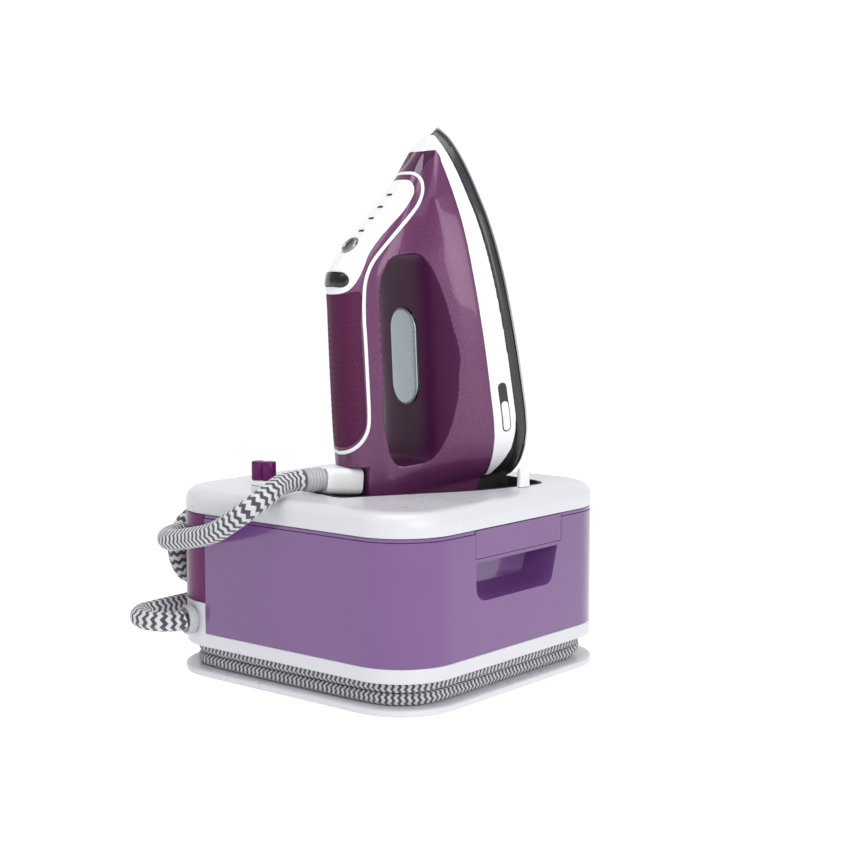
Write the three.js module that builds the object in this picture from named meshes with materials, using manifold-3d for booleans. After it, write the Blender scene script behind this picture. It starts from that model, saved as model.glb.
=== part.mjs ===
// Steam generator iron: a square base with a wrap-round water tank, and an iron parked upright in its well.
// Millimetres, +Z up, origin on the floor under the middle of the base. -Y is the front face of the tank,
// +X is the face with the hand recess.
import * as THREE from 'three';
import { mergeVertices } from 'three/addons/utils/BufferGeometryUtils.js';
import Module from 'manifold-3d';

const wasm = await Module();
wasm.setup();

// Base
const BASE_HALF = 114.5;
const CORNER = 42;
const FOOT_HEIGHT = 1.6;
const PLATE_TOP = 6.2;
const CORE_HALF = 96.8;
const BAND_BOTTOM = 22.6;
const BAND_TOP = 32.6;
const TANK_TOP = 115.6;
const COVER_BOTTOM = 115.9;
const COVER_TOP = 132;
const WALL = 2.5;
const GAP = 0.3;
const COLLAR_WALL_TOP = 53.8;

// Tank arms, seen from above: the front arm and the right arm make an L
const TANK_LEFT = -70;
const TANK_FRONT_ARM_BACK = -58;
const TANK_RIGHT_ARM_LEFT = 56;

// Hand recess and filling flap on the +X face
const RECESS_LEFT = -48;
const RECESS_RIGHT = 45;
const RECESS_BOTTOM = 66.7;
const RECESS_TOP = 94;
const RECESS_DEPTH = 23;

// Where the iron stands: the middle of its well, and its turn and lean
const WELL_X = 10.7;
const WELL_Y = -2.7;
const IRON_TURN = -14 * Math.PI / 180;
const IRON_LEAN = 10 * Math.PI / 180;
const TIP_ALONG = 35;
const TIP_Z = 383;
const WELL_FLOOR = 120.4;

// Iron: s runs from the tip of the sole to its heel, t from the sole to the handle, w to the side
const SOLE_LENGTH = 254;
const SOLE_THICK = 2.2;
const RIM_TOP = 8.5;
const SOLE_HALF_WIDTH = [[0, 0.6], [3, 5], [7, 10.5], [18, 20], [32, 28.5], [48, 36], [65, 43], [89, 49.5],
  [123, 54.5], [161, 57], [197, 57.5], [212, 56.3], [223, 53], [235, 46.5], [244, 38], [251, 26], [254, 12]];
const RIDGE = [[4, 10], [13, 19], [20, 27], [30, 38.5], [43, 54.3], [64.5, 83.5], [76, 98.5], [84, 106],
  [92, 109.5], [109, 111.7], [157, 118], [205, 123.4], [262, 127]];
const RIDGE_HALF_WIDTH = [[4, 2], [13, 5], [20, 7.5], [30, 12], [43, 16], [64, 18], [90, 17.5], [262, 17.5]];
const SKIRT_TOP = [[4, 12], [15, 17], [50, 20], [100, 24], [150, 26], [222, 28], [262, 29]];
const HEEL_HALF_WIDTH = 38;
const SHELL_WALL = 2.4;
const OPENING_START = 80;
const OPENING_SQUARENESS = 4.5;
const OPENING_END = 223.5;
const DECK_CROWN = [[80, 49], [100, 51], [119, 53], [140, 55.7], [161, 58.2], [180, 60.6], [200, 62.5],
  [224, 64]];
const DECK_DROP = [[80, 12], [102, 13], [119, 14], [142, 15.6], [162, 16.3], [185, 17.9], [224, 19]];
const HANDLE_UNDERSIDE = [[78, 76], [92, 82], [100, 84.5], [114, 86], [162, 91.5], [190, 95.5], [224, 98]];
const PANEL_OUTLINE = [[30, 46], [31, 39.5], [36, 38.6], [40, 40], [44, 43.2], [51.4, 51.9], [58.7, 63.3],
  [68.4, 77.1], [76, 85.6], [84.9, 92.1], [91.8, 97.8], [96.8, 103.5], [98.9, 109.2], [99, 125], [22, 125],
  [28, 60]];
const TRIM_LINE = [[27, 60], [26.8, 36], [27.6, 33.4], [29.4, 32.2], [31.5, 32], [36, 33.7], [41.7, 37],
  [48.1, 41.7],
  [54.1, 48.1], [63.2, 60], [73, 73.7], [81.2, 84.7], [90.1, 91], [99.5, 94.4], [119, 97.8], [162, 102.5],
  [183.8, 105.1], [192.3, 107.1], [198.2, 111], [202.7, 116.1], [205.5, 121.3], [206.7, 126], [207, 132]];
const TRIM_WIDTH = 2.6;

// Hose and mains lead
const HOSE_DIAMETER = 14.4;
const LEAD_DIAMETER = 7.8;
const PORT = new THREE.Vector3(-84.8, -112.7, 40.6);
const PORT_TURN = 253 * Math.PI / 180;
const LEAD_LOW = 10.4;
const LEAD_HIGH = 18.6;
const LEAD_HALF = 103;
const LEAD_CORNER = 30.5;
// The steam hose: over the front edge, round the left corner, down behind the base into a coil on the floor,
// back up to a hanging bend, down again, and round to the port
const HOSE_FIRST = [[-8.2, -83.3, 141.6], [-9.6, -90, 141.4], [-7.6, -103, 140.4], [-2, -120, 136.6],
  [-4, -134, 129.4],
  [-16, -138, 120.5], [-35.5, -137, 110.2], [-68, -130, 101.7], [-96, -123, 96.3], [-113, -109.5, 95.2],
  [-122, -92, 94.6], [-124.5, -72, 93.6], [-124.8, -40, 90], [-125, -5, 80], [-125.5, 30, 64], [-126, 62, 47],
  [-124, 88, 33], [-115, 112, 20], [-99, 131.5, 11]];
const COIL_X = -150;
const COIL_Y = 184;
const COIL_Z = 7.5;
const COIL_START = -26.7;
const COIL_END = 540;
const COIL_RADIUS_START = 76;
const COIL_RADIUS_END = 51.4;
const HOSE_RISE = [[-203, 166, 13.5], [-204, 146, 24], [-199, 120, 36], [-188, 88, 52], [-173, 54, 71],
  [-157, 16, 89], [-144, -18, 100.5], [-138, -40, 104]];
const BEND = [-137, -56, 80];
const BEND_RADIUS = 24;
const HOSE_RETURN = [[-139, -30, 50], [-146, 0, 38], [-161, 28, 24], [-183, 43, 13], [-205, 36, 8.6],
  [-213, 14, 7.8], [-203, -9, 9.5], [-181, -23, 16], [-156, -33, 26], [-138, -50, 36], [-129, -72, 40.5],
  [-126.5, -92, 41.3]];
const LOOP = [-106.4, -116.6];
const LOOP_RADIUS = 19.5;

const WHITE = 0xe9e9ee;
const PLUM = 0x6b3560;
const DARK_PLUM = 0x4a1540;
const TANK_VIOLET = 0x7a5a96;
const BLACK = 0x1c1b1e;
const DARK_GREY = 0x45464a;
const STEEL = 0xb9bbbf;

const group = new THREE.Group();
const turned = new THREE.Group();
turned.position.set(WELL_X, WELL_Y, 0);
turned.rotation.z = IRON_TURN;
const iron = new THREE.Group();
iron.position.set(0, TIP_ALONG, TIP_Z);
iron.rotation.x = IRON_LEAN;
turned.add(iron);
group.add(turned);

// Helpers

function add(parent, name, geometry, color, roughness = 0.35, metalness = 0) {
  const mesh = new THREE.Mesh(geometry, new THREE.MeshStandardMaterial({ color, roughness, metalness }));
  mesh.name = name;
  parent.add(mesh);
  return mesh;
}

function solid(geometry) {
  const bare = geometry.clone();
  bare.deleteAttribute('normal');
  bare.deleteAttribute('uv');
  const merged = mergeVertices(bare, 1e-4);
  return new wasm.Manifold(new wasm.Mesh({
    numProp: 3,
    vertProperties: merged.attributes.position.array,
    triVerts: new Uint32Array(merged.index.array),
  }));
}

function geometryOf(body) {
  const mesh = body.getMesh();
  const geometry = new THREE.BufferGeometry();
  geometry.setAttribute('position', new THREE.BufferAttribute(new Float32Array(mesh.vertProperties), 3));
  geometry.setIndex(new THREE.BufferAttribute(new Uint32Array(mesh.triVerts), 1));
  const flat = geometry.toNonIndexed();
  flat.computeVertexNormals();
  return flat;
}

// The value of a curve given as [position, value] pairs
function along(curve, at) {
  if (at <= curve[0][0]) return curve[0][1];
  for (let i = 1; i < curve.length; i++) {
    const [x1, y1] = curve[i];
    const [x0, y0] = curve[i - 1];
    if (at <= x1) return y0 + (y1 - y0) * (at - x0) / (x1 - x0);
  }
  return curve[curve.length - 1][1];
}

// A closed body through sections with equal point counts; place(point, i) puts a section point in space
function loft(sections, place) {
  const count = sections[0].length;
  const points = [];
  sections.forEach((section, i) => section.forEach((p) => points.push(place(p, i))));
  const faces = [];
  for (let i = 0; i + 1 < sections.length; i++) {
    for (let j = 0; j < count; j++) {
      const a = i * count + j;
      const b = i * count + (j + 1) % count;
      faces.push([a, b, b + count], [a, b + count, a + count]);
    }
  }
  const last = (sections.length - 1) * count;
  const turnOf = (section) => Math.sign(THREE.ShapeUtils.area(section));
  const cap = (section, offset, flip) => {
    for (const [a, b, c] of THREE.ShapeUtils.triangulateShape(section, [])) {
      faces.push(flip ? [offset + c, offset + b, offset + a] : [offset + a, offset + b, offset + c]);
    }
  };
  const forward = turnOf(sections[0]) > 0;
  cap(sections[0], 0, forward);
  cap(sections[sections.length - 1], last, !forward);
  let volume = 0;
  for (const [a, b, c] of faces) volume += points[a].dot(points[b].clone().cross(points[c]));
  const position = [];
  for (const [a, b, c] of faces) {
    const order = volume > 0 ? [a, b, c] : [c, b, a];
    for (const k of order) position.push(points[k].x, points[k].y, points[k].z);
  }
  const geometry = new THREE.BufferGeometry();
  geometry.setAttribute('position', new THREE.Float32BufferAttribute(position, 3));
  geometry.computeVertexNormals();
  return geometry;
}

function roundedRect(halfX, halfY, radius, steps = 6, cx = 0, cy = 0) {
  const points = [];
  const centres = [[1, 1, 0], [-1, 1, 90], [-1, -1, 180], [1, -1, 270]];
  for (const [sx, sy, start] of centres) {
    for (let i = 0; i <= steps; i++) {
      const angle = (start + 90 * i / steps) * Math.PI / 180;
      points.push(new THREE.Vector2(cx + sx * (halfX - radius) + radius * Math.cos(angle),
        cy + sy * (halfY - radius) + radius * Math.sin(angle)));
    }
  }
  return points;
}

// A polygon whose corners are rounded; radii has one radius per corner
function roundedPolygon(corners, radii, steps = 4) {
  const points = [];
  corners.forEach(([x, y], i) => {
    const here = new THREE.Vector2(x, y);
    const before = new THREE.Vector2(...corners[(i + corners.length - 1) % corners.length]);
    const after = new THREE.Vector2(...corners[(i + 1) % corners.length]);
    const from = here.clone().add(before.sub(here).setLength(radii[i]));
    const to = here.clone().add(after.sub(here).setLength(radii[i]));
    for (let k = 0; k <= steps; k++) {
      const u = k / steps;
      points.push(new THREE.Vector2(
        (1 - u) ** 2 * from.x + 2 * u * (1 - u) * here.x + u ** 2 * to.x,
        (1 - u) ** 2 * from.y + 2 * u * (1 - u) * here.y + u ** 2 * to.y));
    }
  });
  return points;
}

function prism(outline, bottom, top) {
  return loft([outline, outline], (p, i) => new THREE.Vector3(p.x, p.y, i ? top : bottom));
}

function box(x0, x1, y0, y1, z0, z1) {
  const geometry = new THREE.BoxGeometry(x1 - x0, y1 - y0, z1 - z0);
  return geometry.translate((x0 + x1) / 2, (y0 + y1) / 2, (z0 + z1) / 2);
}

function upright(radius, x, y, bottom, top, sides = 20) {
  const geometry = new THREE.CylinderGeometry(radius, radius, top - bottom, sides);
  return geometry.rotateX(Math.PI / 2).translate(x, y, (bottom + top) / 2);
}

// A cylinder or cone between two points
function rod(from, to, radiusFrom, radiusTo, sides = 20) {
  const way = to.clone().sub(from);
  const geometry = new THREE.CylinderGeometry(radiusTo, radiusFrom, way.length(), sides);
  const turn = new THREE.Quaternion().setFromUnitVectors(new THREE.Vector3(0, 1, 0), way.clone().normalize());
  geometry.applyQuaternion(turn);
  const middle = from.clone().add(to).multiplyScalar(0.5);
  return geometry.translate(middle.x, middle.y, middle.z);
}

function tube(points, diameter, steps, sides) {
  const circle = new THREE.Shape();
  for (let i = 0; i < sides; i++) {
    const angle = 2 * Math.PI * i / sides;
    const [x, y] = [diameter / 2 * Math.cos(angle), diameter / 2 * Math.sin(angle)];
    if (i) circle.lineTo(x, y);
    else circle.moveTo(x, y);
  }
  circle.closePath();
  const path = new THREE.CatmullRomCurve3(points, false, 'centripetal');
  path.arcLengthDivisions = 2000;
  return new THREE.ExtrudeGeometry(circle, { steps, extrudePath: path, bevelEnabled: false });
}

// Base parts

function makeBasePan() {
  const grownSquare = roundedRect(BASE_HALF + 1, BASE_HALF + 1, CORNER + 1);
  const plate = solid(prism(grownSquare, FOOT_HEIGHT + GAP, PLATE_TOP));
  const core = solid(prism(roundedRect(CORE_HALF, CORE_HALF, 26), PLATE_TOP - 1, BAND_BOTTOM - GAP));
  const inside = solid(prism(roundedRect(CORE_HALF - WALL, CORE_HALF - WALL, 23.5), 4.2, BAND_BOTTOM + 1));
  add(group, 'base_pan', geometryOf(plate.add(core).subtract(inside)), WHITE);
}

function makeFeet() {
  [[1, 1], [-1, 1], [-1, -1], [1, -1]].forEach(([sx, sy], i) => {
    add(group, 'foot_' + (i + 1), upright(9, sx * 84, sy * 84, 0, FOOT_HEIGHT, 16), BLACK, 0.9);
  });
}

// What is left of a rounded square block after the tank's two arms are taken out
function housingBlock(half, radius, shrink, bottom, top) {
  const block = solid(prism(roundedRect(half, half, radius), bottom, top));
  const front = solid(box(TANK_LEFT - GAP - shrink, 200, -200, TANK_FRONT_ARM_BACK + GAP + shrink, 0, 200));
  const right = solid(box(TANK_RIGHT_ARM_LEFT - GAP - shrink, 200, -200, 200, 0, 200));
  return block.subtract(front).subtract(right);
}

function makeTray() {
  const band = solid(prism(roundedRect(BASE_HALF, BASE_HALF, CORNER), BAND_BOTTOM, BAND_TOP));
  const wall = housingBlock(BASE_HALF, CORNER, 0, BAND_TOP - 1, COLLAR_WALL_TOP);
  const well = solid(prism(roundedRect(BASE_HALF - WALL, BASE_HALF - WALL, CORNER - WALL),
    BAND_BOTTOM + WALL, BAND_TOP + 0.5));
  const room = housingBlock(BASE_HALF - WALL, CORNER - WALL, WALL, BAND_BOTTOM + WALL, COLLAR_WALL_TOP + 1);
  const out = new THREE.Vector3(Math.cos(PORT_TURN), Math.sin(PORT_TURN), 0);
  const bore = rod(PORT.clone().addScaledVector(out, -14), PORT.clone().addScaledVector(out, 14), 8.4, 8.4);
  const body = band.subtract(well).add(wall).subtract(room).subtract(solid(bore));
  add(group, 'lower_tray', geometryOf(body), WHITE);
}

function makeHousing() {
  const outer = housingBlock(BASE_HALF, CORNER, 0, COLLAR_WALL_TOP + GAP, TANK_TOP);
  const inner = housingBlock(BASE_HALF - WALL, CORNER - WALL, WALL, COLLAR_WALL_TOP - 1, TANK_TOP + 1);
  add(group, 'rear_housing', geometryOf(outer.subtract(inner)), DARK_PLUM);
}

function tankBlock(inset, bottom, top) {
  const half = BASE_HALF - inset;
  const block = solid(prism(roundedRect(half, half, CORNER - inset), bottom, top));
  const left = solid(box(-200, TANK_LEFT + inset, -200, 200, 0, 200));
  const middle = solid(box(-200, TANK_RIGHT_ARM_LEFT + inset, TANK_FRONT_ARM_BACK - inset, 200, 0, 200));
  return block.subtract(left).subtract(middle);
}

// The hand recess as a block, grown by a margin on every side
function recessBlock(margin) {
  const mouth = roundedPolygon([[RECESS_LEFT - margin, RECESS_TOP + margin], [RECESS_LEFT - margin,
    RECESS_BOTTOM - margin], [RECESS_RIGHT - 8 + margin, RECESS_BOTTOM - margin],
  [RECESS_RIGHT + margin, RECESS_TOP + margin]], [0.5, 12, 6, 0.5]);
  const back = mouth.map((p) => new THREE.Vector2(p.x * 0.92, RECESS_TOP + margin
    + (p.y - RECESS_TOP - margin) * 0.72));
  const depths = [BASE_HALF - RECESS_DEPTH - margin, BASE_HALF + 5];
  return solid(loft([back, mouth], (p, i) => new THREE.Vector3(depths[i], p.x, p.y)));
}

function makeTank() {
  const floor = BAND_TOP + GAP;
  const shell = tankBlock(0, floor, TANK_TOP - 2.6).subtract(tankBlock(WALL, floor + WALL, TANK_TOP));
  const pocket = recessBlock(WALL).intersect(tankBlock(0.01, floor, TANK_TOP - 2.6));
  const mouth = solid(box(BASE_HALF - 12, BASE_HALF + 5, -48.2, 48.8, 96.4, 130));
  const body = shell.add(pocket).subtract(recessBlock(0)).subtract(mouth);
  add(group, 'water_tank', geometryOf(body), TANK_VIOLET, 0.15);
  const lid = tankBlock(0.2, TANK_TOP - 2.3, TANK_TOP);
  const notch = solid(box(BASE_HALF - 3.4, BASE_HALF + 5, -48.6, 49.2, 90, 130));
  add(group, 'tank_lid', geometryOf(lid.subtract(notch)), TANK_VIOLET, 0.2);
}

function makeFlap() {
  const plate = solid(box(BASE_HALF - WALL, BASE_HALF, -47.9, 48.5, 96.7, TANK_TOP - 0.2));
  const lip = solid(box(BASE_HALF - 10, BASE_HALF - WALL + 0.5, -40, 40, 97.2, 99.2));
  add(group, 'fill_flap', geometryOf(plate.add(lip)), TANK_VIOLET, 0.15);
}

function makeInletValve() {
  add(group, 'inlet_valve', upright(7, 84, 40, BAND_BOTTOM + WALL + GAP, BAND_TOP - 0.1), BLACK, 0.6);
}

function wellOutline(grow) {
  const corners = [[-31, -69], [31, -69], [35, -50], [57, 26], [57, 88], [-57, 88], [-57, 26], [-35, -50]];
  const rounded = roundedPolygon(corners, [9, 9, 10, 18, 16, 16, 18, 10], 3);
  const middle = new THREE.Vector2(0, 10);
  return rounded.map((p) => {
    const out = p.clone().sub(middle);
    const q = middle.clone().add(out.setLength(out.length() + grow));
    return q.rotateAround(new THREE.Vector2(0, 0), IRON_TURN).add(new THREE.Vector2(WELL_X, WELL_Y));
  });
}

function makeCover() {
  const profile = [[COVER_BOTTOM, 0], [123.4, 0], [126.6, 0.9], [129.3, 2.7], [131.2, 5.6], [COVER_TOP, 10]];
  const rings = profile.map(([, inset]) => roundedRect(BASE_HALF - inset, BASE_HALF - inset, CORNER - inset));
  const outer = solid(loft(rings, (p, i) => new THREE.Vector3(p.x, p.y, profile[i][0])));
  const under = [[COVER_BOTTOM - 1, WALL], [124, WALL], [COVER_TOP - 3, 12]];
  const hollow = under.map(([, inset]) => roundedRect(BASE_HALF - inset, BASE_HALF - inset, CORNER - inset));
  const inner = solid(loft(hollow, (p, i) => new THREE.Vector3(p.x, p.y, under[i][0])));
  const hole = solid(prism(wellOutline(WALL + GAP), 100, 150));
  add(group, 'top_cover', geometryOf(outer.subtract(inner).subtract(hole)), WHITE, 0.2);
}

function makeWellLiner() {
  const tub = solid(prism(wellOutline(WALL), WELL_FLOOR - WALL, COVER_TOP + 0.5));
  const inside = solid(prism(wellOutline(0), WELL_FLOOR, COVER_TOP + 2));
  add(group, 'well_liner', geometryOf(tub.subtract(inside)), BLACK, 0.7);
}

function makeSoleRest() {
  const corners = [[60.4, 57.5], [65, 57.5], [65, 66.5], [60.4, 66.5]];
  const profile = roundedPolygon(corners, [1.6, 1.6, 1.6, 1.6], 3);
  const top = profile.map((p) => new THREE.Vector2(62.7 + (p.x - 62.7) * 0.9, 62 + (p.y - 62) * 0.9));
  const body = loft([profile, profile, top], (p, i) => new THREE.Vector3(p.x, p.y,
    [COVER_TOP + GAP, COVER_TOP + 11, COVER_TOP + 13.5][i]));
  add(turned, 'sole_rest', body, WHITE);
}

function makeLock() {
  const foot = roundedRect(8, 7, 5, 4, -60, -66.5);
  add(group, 'lock_foot', prism(foot, COVER_TOP + GAP, 135.6), WHITE);
  const lobes = [];
  const step = Math.PI / 6;
  for (let i = 0; i < 8; i++) lobes.push(new THREE.Vector2(4.2, 0).add(
    new THREE.Vector2(5.2, 0).rotateAround(new THREE.Vector2(), -2 * step - step / 4 + i * step * 0.64)));
  const other = lobes.map((p) => new THREE.Vector2(-p.x, -p.y));
  const outline = lobes.concat(other).map((p) => p.add(new THREE.Vector2(-60, -66.5)));
  add(group, 'lock_hook', prism(outline, 135.9, 149), DARK_PLUM, 0.2);
}

function makeInnards() {
  const z = BAND_BOTTOM + WALL + GAP;
  const profile = [[0, -62], [20, -58], [30, -48], [33, -36], [33, 36], [30, 48], [20, 58], [0, 62]];
  const boiler = new THREE.LatheGeometry(profile.map(([x, y]) => new THREE.Vector2(x, y)), 24);
  boiler.rotateZ(Math.PI / 2).translate(-30, 50, z + 40);
  const legs = solid(box(-70, -62, 30, 70, z, z + 20)).add(solid(box(2, 10, 30, 70, z, z + 20)));
  add(group, 'boiler', geometryOf(solid(boiler).add(legs)), STEEL, 0.4, 0.9);
  add(group, 'boiler_thermostat', upright(8, -30, 50, z + 73.6, z + 79, 16), BLACK, 0.5);
  const pumpEnds = [new THREE.Vector3(-100, -20, z + 20), new THREE.Vector3(-60, -20, z + 20)];
  const pump = solid(rod(pumpEnds[0], pumpEnds[1], 15, 15, 16));
  const pumpFoot = solid(box(-95, -65, -30, -10, z, z + 10));
  add(group, 'pump', geometryOf(pump.add(pumpFoot)), DARK_GREY, 0.5);
  const coil = solid(box(-40, -16, -44, -16, z, z + 30));
  const stem = solid(upright(6, -28, -30, z + 29, z + 44, 16));
  add(group, 'steam_valve', geometryOf(coil.add(stem)), STEEL, 0.4, 0.6);
  const board = solid(box(5, 50, -48, -46.4, z, 100));
  const relay = solid(box(12, 28, -46.8, -34, 60, 76));
  const transformer = solid(box(12, 40, -46.8, -30, z, 52));
  add(group, 'control_board', geometryOf(board.add(relay).add(transformer)), 0x2f5b3a, 0.6);
}

function makePort() {
  const out = new THREE.Vector3(Math.cos(PORT_TURN), Math.sin(PORT_TURN), 0);
  const at = (distance) => PORT.clone().addScaledVector(out, distance);
  const flange = solid(rod(at(1.2), at(6.5), 10, 9.4, 28));
  const neck = solid(rod(at(-9), at(2), 8.1, 8.1, 24));
  const bore = solid(rod(at(-12), at(4), 4.5, 4.5, 16));
  add(group, 'hose_port', geometryOf(flange.add(neck).subtract(bore)), DARK_GREY, 0.5);
}

// Iron body

function soleSection(s, inset) {
  return Math.max(0.4, along(SOLE_HALF_WIDTH, s) - inset);
}

// A flat outline of the sole with its edge moved in, as a closed polygon in w and s
function soleOutline(inset, start, end) {
  const stations = SOLE_HALF_WIDTH.map(([s]) => start + (end - start) * s / SOLE_LENGTH);
  const side = stations.map((s, i) => new THREE.Vector2(
    Math.max(0.5, SOLE_HALF_WIDTH[i][1] - inset), s));
  const other = side.slice().reverse().map((p) => new THREE.Vector2(-p.x, p.y));
  return side.concat(other);
}

function layer(outline, low, high) {
  return loft([outline, outline], (p, i) => new THREE.Vector3(p.x, -(i ? high : low), -p.y));
}

function makeSole() {
  const chamfered = [soleOutline(1.2, 0.8, SOLE_LENGTH - 0.8), soleOutline(0, 0, SOLE_LENGTH),
    soleOutline(0, 0, SOLE_LENGTH)];
  const heights = [0, 0.9, SOLE_THICK];
  const plate = loft(chamfered, (p, i) => new THREE.Vector3(p.x, -heights[i], -p.y));
  add(iron, 'soleplate', plate, STEEL, 0.25, 0.9);
  const rimOuter = solid(layer(soleOutline(0.8, 0, SOLE_LENGTH), SOLE_THICK + GAP, RIM_TOP));
  const rimInner = solid(layer(soleOutline(12, 26, SOLE_LENGTH - 10), 0, RIM_TOP + 2));
  add(iron, 'sole_rim', geometryOf(rimOuter.subtract(rimInner)), DARK_GREY, 0.5);
  const casting = solid(layer(soleOutline(13.5, 30, SOLE_LENGTH - 12), SOLE_THICK + GAP, 15));
  add(iron, 'heater_casting', geometryOf(casting), STEEL, 0.6, 0.7);
}

// One cross section of the iron's body, moved in by inset, from its foot at height low
function bodySection(s, inset, low) {
  const sole = Math.max(soleSection(s, 0), s > 230 ? HEEL_HALF_WIDTH : 0);
  const top = along(RIDGE, s);
  const skirt = Math.min(along(SKIRT_TOP, s), top - 1);
  const rise = top - skirt;
  const shoulder = Math.min(17, 0.45 * rise);
  const cap = Math.min(32, 0.42 * rise);
  const ridge = along(RIDGE_HALF_WIDTH, s);
  const half = [
    [Math.max(1, sole - 2), low],
    [sole * 0.935, skirt],
    [sole * 0.89, skirt + 0.5 * shoulder],
    [Math.max(ridge, sole * 0.83), skirt + shoulder],
    [ridge, top - cap],
    [ridge * 0.97, top - 0.5 * cap],
    [ridge * 0.78, top - 0.16 * cap],
    [ridge * 0.42, top - 0.03 * cap],
  ];
  const right = half.map(([w, t], i) => new THREE.Vector2(Math.max(0.3, w - inset), t - (i > 4 ? inset : 0)));
  const left = right.slice().reverse().map((p) => new THREE.Vector2(-p.x, p.y));
  return right.concat([new THREE.Vector2(0, top - inset)], left);
}

function bodyLoft(inset, low) {
  const stations = [4, 8, 13, 20, 26, 30, 36, 43, 53, 64.5, 76, 84, 92, 109, 133, 157, 181, 205, 222, 235, 244,
    265];
  const start = inset > 0 ? 2 : 0;
  const used = stations.slice(start);
  const sections = used.map((s) => bodySection(s, inset, low));
  return solid(loft(sections, (p, i) => new THREE.Vector3(p.x, -p.y, -used[i])));
}

// The hand opening between deck and handle, grown by a margin
function openingBlock(margin) {
  const sections = [];
  const places = [];
  const steps = 14;
  const middle = (OPENING_START + OPENING_END) / 2;
  const reach = (OPENING_END - OPENING_START) / 2 + margin;
  for (let i = 0; i <= steps; i++) {
    const u = -Math.cos(Math.PI * i / steps);
    const s = middle + reach * u * 0.9995;
    const full = Math.pow(1 - Math.pow(Math.abs(u * 0.9995), OPENING_SQUARENESS), 1 / OPENING_SQUARENESS);
    const upper = along(HANDLE_UNDERSIDE, s) + margin;
    const lower = along(DECK_CROWN, s) - margin;
    const centre = (upper + lower) / 2;
    const height = (upper - lower) / 2 * full;
    const section = [];
    for (const w of [-62, -46, -30, -15, 0, 15, 30, 46, 62]) {
      section.push(new THREE.Vector2(w, centre - height - along(DECK_DROP, s) * full * (w / 48) ** 2));
    }
    for (const w of [62, 30, 0, -30, -62]) section.push(new THREE.Vector2(w, centre + height));
    sections.push(section);
    places.push(s);
  }
  return solid(loft(sections, (p, i) => new THREE.Vector3(p.x, -p.y, -places[i])));
}

// A side-on outline in s and t, carried straight through the iron from side to side
function sideBlock(points, halfWidth = 80) {
  const outline = points.map(([s, t]) => new THREE.Vector2(s, t));
  return solid(loft([outline, outline], (p, i) => new THREE.Vector3(i ? halfWidth : -halfWidth, -p.y, -p.x)));
}

function band(points, width) {
  const line = points.map(([s, t]) => new THREE.Vector2(s, t));
  const side = (sign) => line.map((p, i) => {
    const way = line[Math.min(i + 1, line.length - 1)].clone().sub(line[Math.max(i - 1, 0)]).normalize();
    return [p.x - sign * way.y * width / 2, p.y + sign * way.x * width / 2];
  });
  return side(1).concat(side(-1).reverse());
}

// Keeps what stands above a level height z
function above(body, z) {
  return body.trimByPlane([0, Math.sin(IRON_LEAN), Math.cos(IRON_LEAN)], z - TIP_Z);
}

const outside = bodyLoft(0, RIM_TOP + GAP);
const inside = bodyLoft(SHELL_WALL, -5).subtract(openingBlock(SHELL_WALL));
const skirtZone = [[-5, -10], [-5, 70], [13, 70], [14.4, 17], ...SKIRT_TOP.slice(2), [262, -10]];
const GRIP_OUTLINE = [[99.6, 125], [99.5, 109], [99.8, 97.6], [119, 100.6], [162, 105.3], [183.4, 107.8],
  [190.6, 109.5], [195.6, 112.8], [199.8, 117.6], [202.4, 122.6], [203, 130]];
const gripZone = sideBlock(GRIP_OUTLINE);
const windowZone = sideBlock([[14.8, 17.6], [24.9, 24.6], [24.9, 60], [14.8, 60]])
  .intersect(solid(box(-9.5, 9.5, -200, 0, -300, 0)));
const heelZone = (grow) => sideBlock([[200 - grow, -10], [200 - grow, 7.5], [203.4, 9 + grow],
  [214.7, 10.4 + grow],
  [226.2, 12.4 + grow], [231.6, 15.2 + grow], [235.9, 17.9 + grow], [240 - grow, 21.5 + grow],
  [243.3 - grow, 24],
  [243.6 - grow, 32 + grow], [250, 35 + grow], [256, 37 + grow], [275, 39 + grow], [275, -10]]);
const heelNotch = sideBlock([[218.6, 110.6], [208.5, 168], [310, 168], [296, 124.3]]);

function makeBodyShell() {
  const raised = skirtZone.map(([s, t]) => [t > 0 && s > 0 ? s + 0.3 : s, t > 0 && s > 14 ? t + GAP : t]);
  const panelZone = sideBlock(PANEL_OUTLINE);
  const trimZone = sideBlock(band(TRIM_LINE, TRIM_WIDTH + 2 * GAP));
  const pit = bodyLoft(1.2, RIM_TOP);
  let body = outside.subtract(openingBlock(0)).subtract(inside).subtract(sideBlock(raised));
  body = body.subtract(panelZone.subtract(pit)).subtract(trimZone.subtract(pit));
  const gripBed = GRIP_OUTLINE.map(([s, t]) => [s + (s < 100 ? -GAP / 2 : GAP / 2), t - GAP]);
  body = body.subtract(sideBlock(gripBed).subtract(pit));
  body = body.subtract(windowZone.subtract(pit));
  body = body.subtract(solid(powerBlock(GAP))).subtract(solid(modeBlock(GAP)));
  body = body.subtract(solid(triggerBlock(0.4)));
  body = above(body.subtract(heelNotch).subtract(heelZone(GAP)), WELL_FLOOR + 4);
  add(iron, 'body_shell', geometryOf(body), PLUM, 0.25);
}

function makeSkirt() {
  const hollow = bodyLoft(SHELL_WALL, -5);
  const body = outside.subtract(hollow).intersect(sideBlock(skirtZone)).subtract(heelZone(GAP));
  add(iron, 'skirt', geometryOf(above(body, WELL_FLOOR + 4)), WHITE, 0.2);
}

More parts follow.
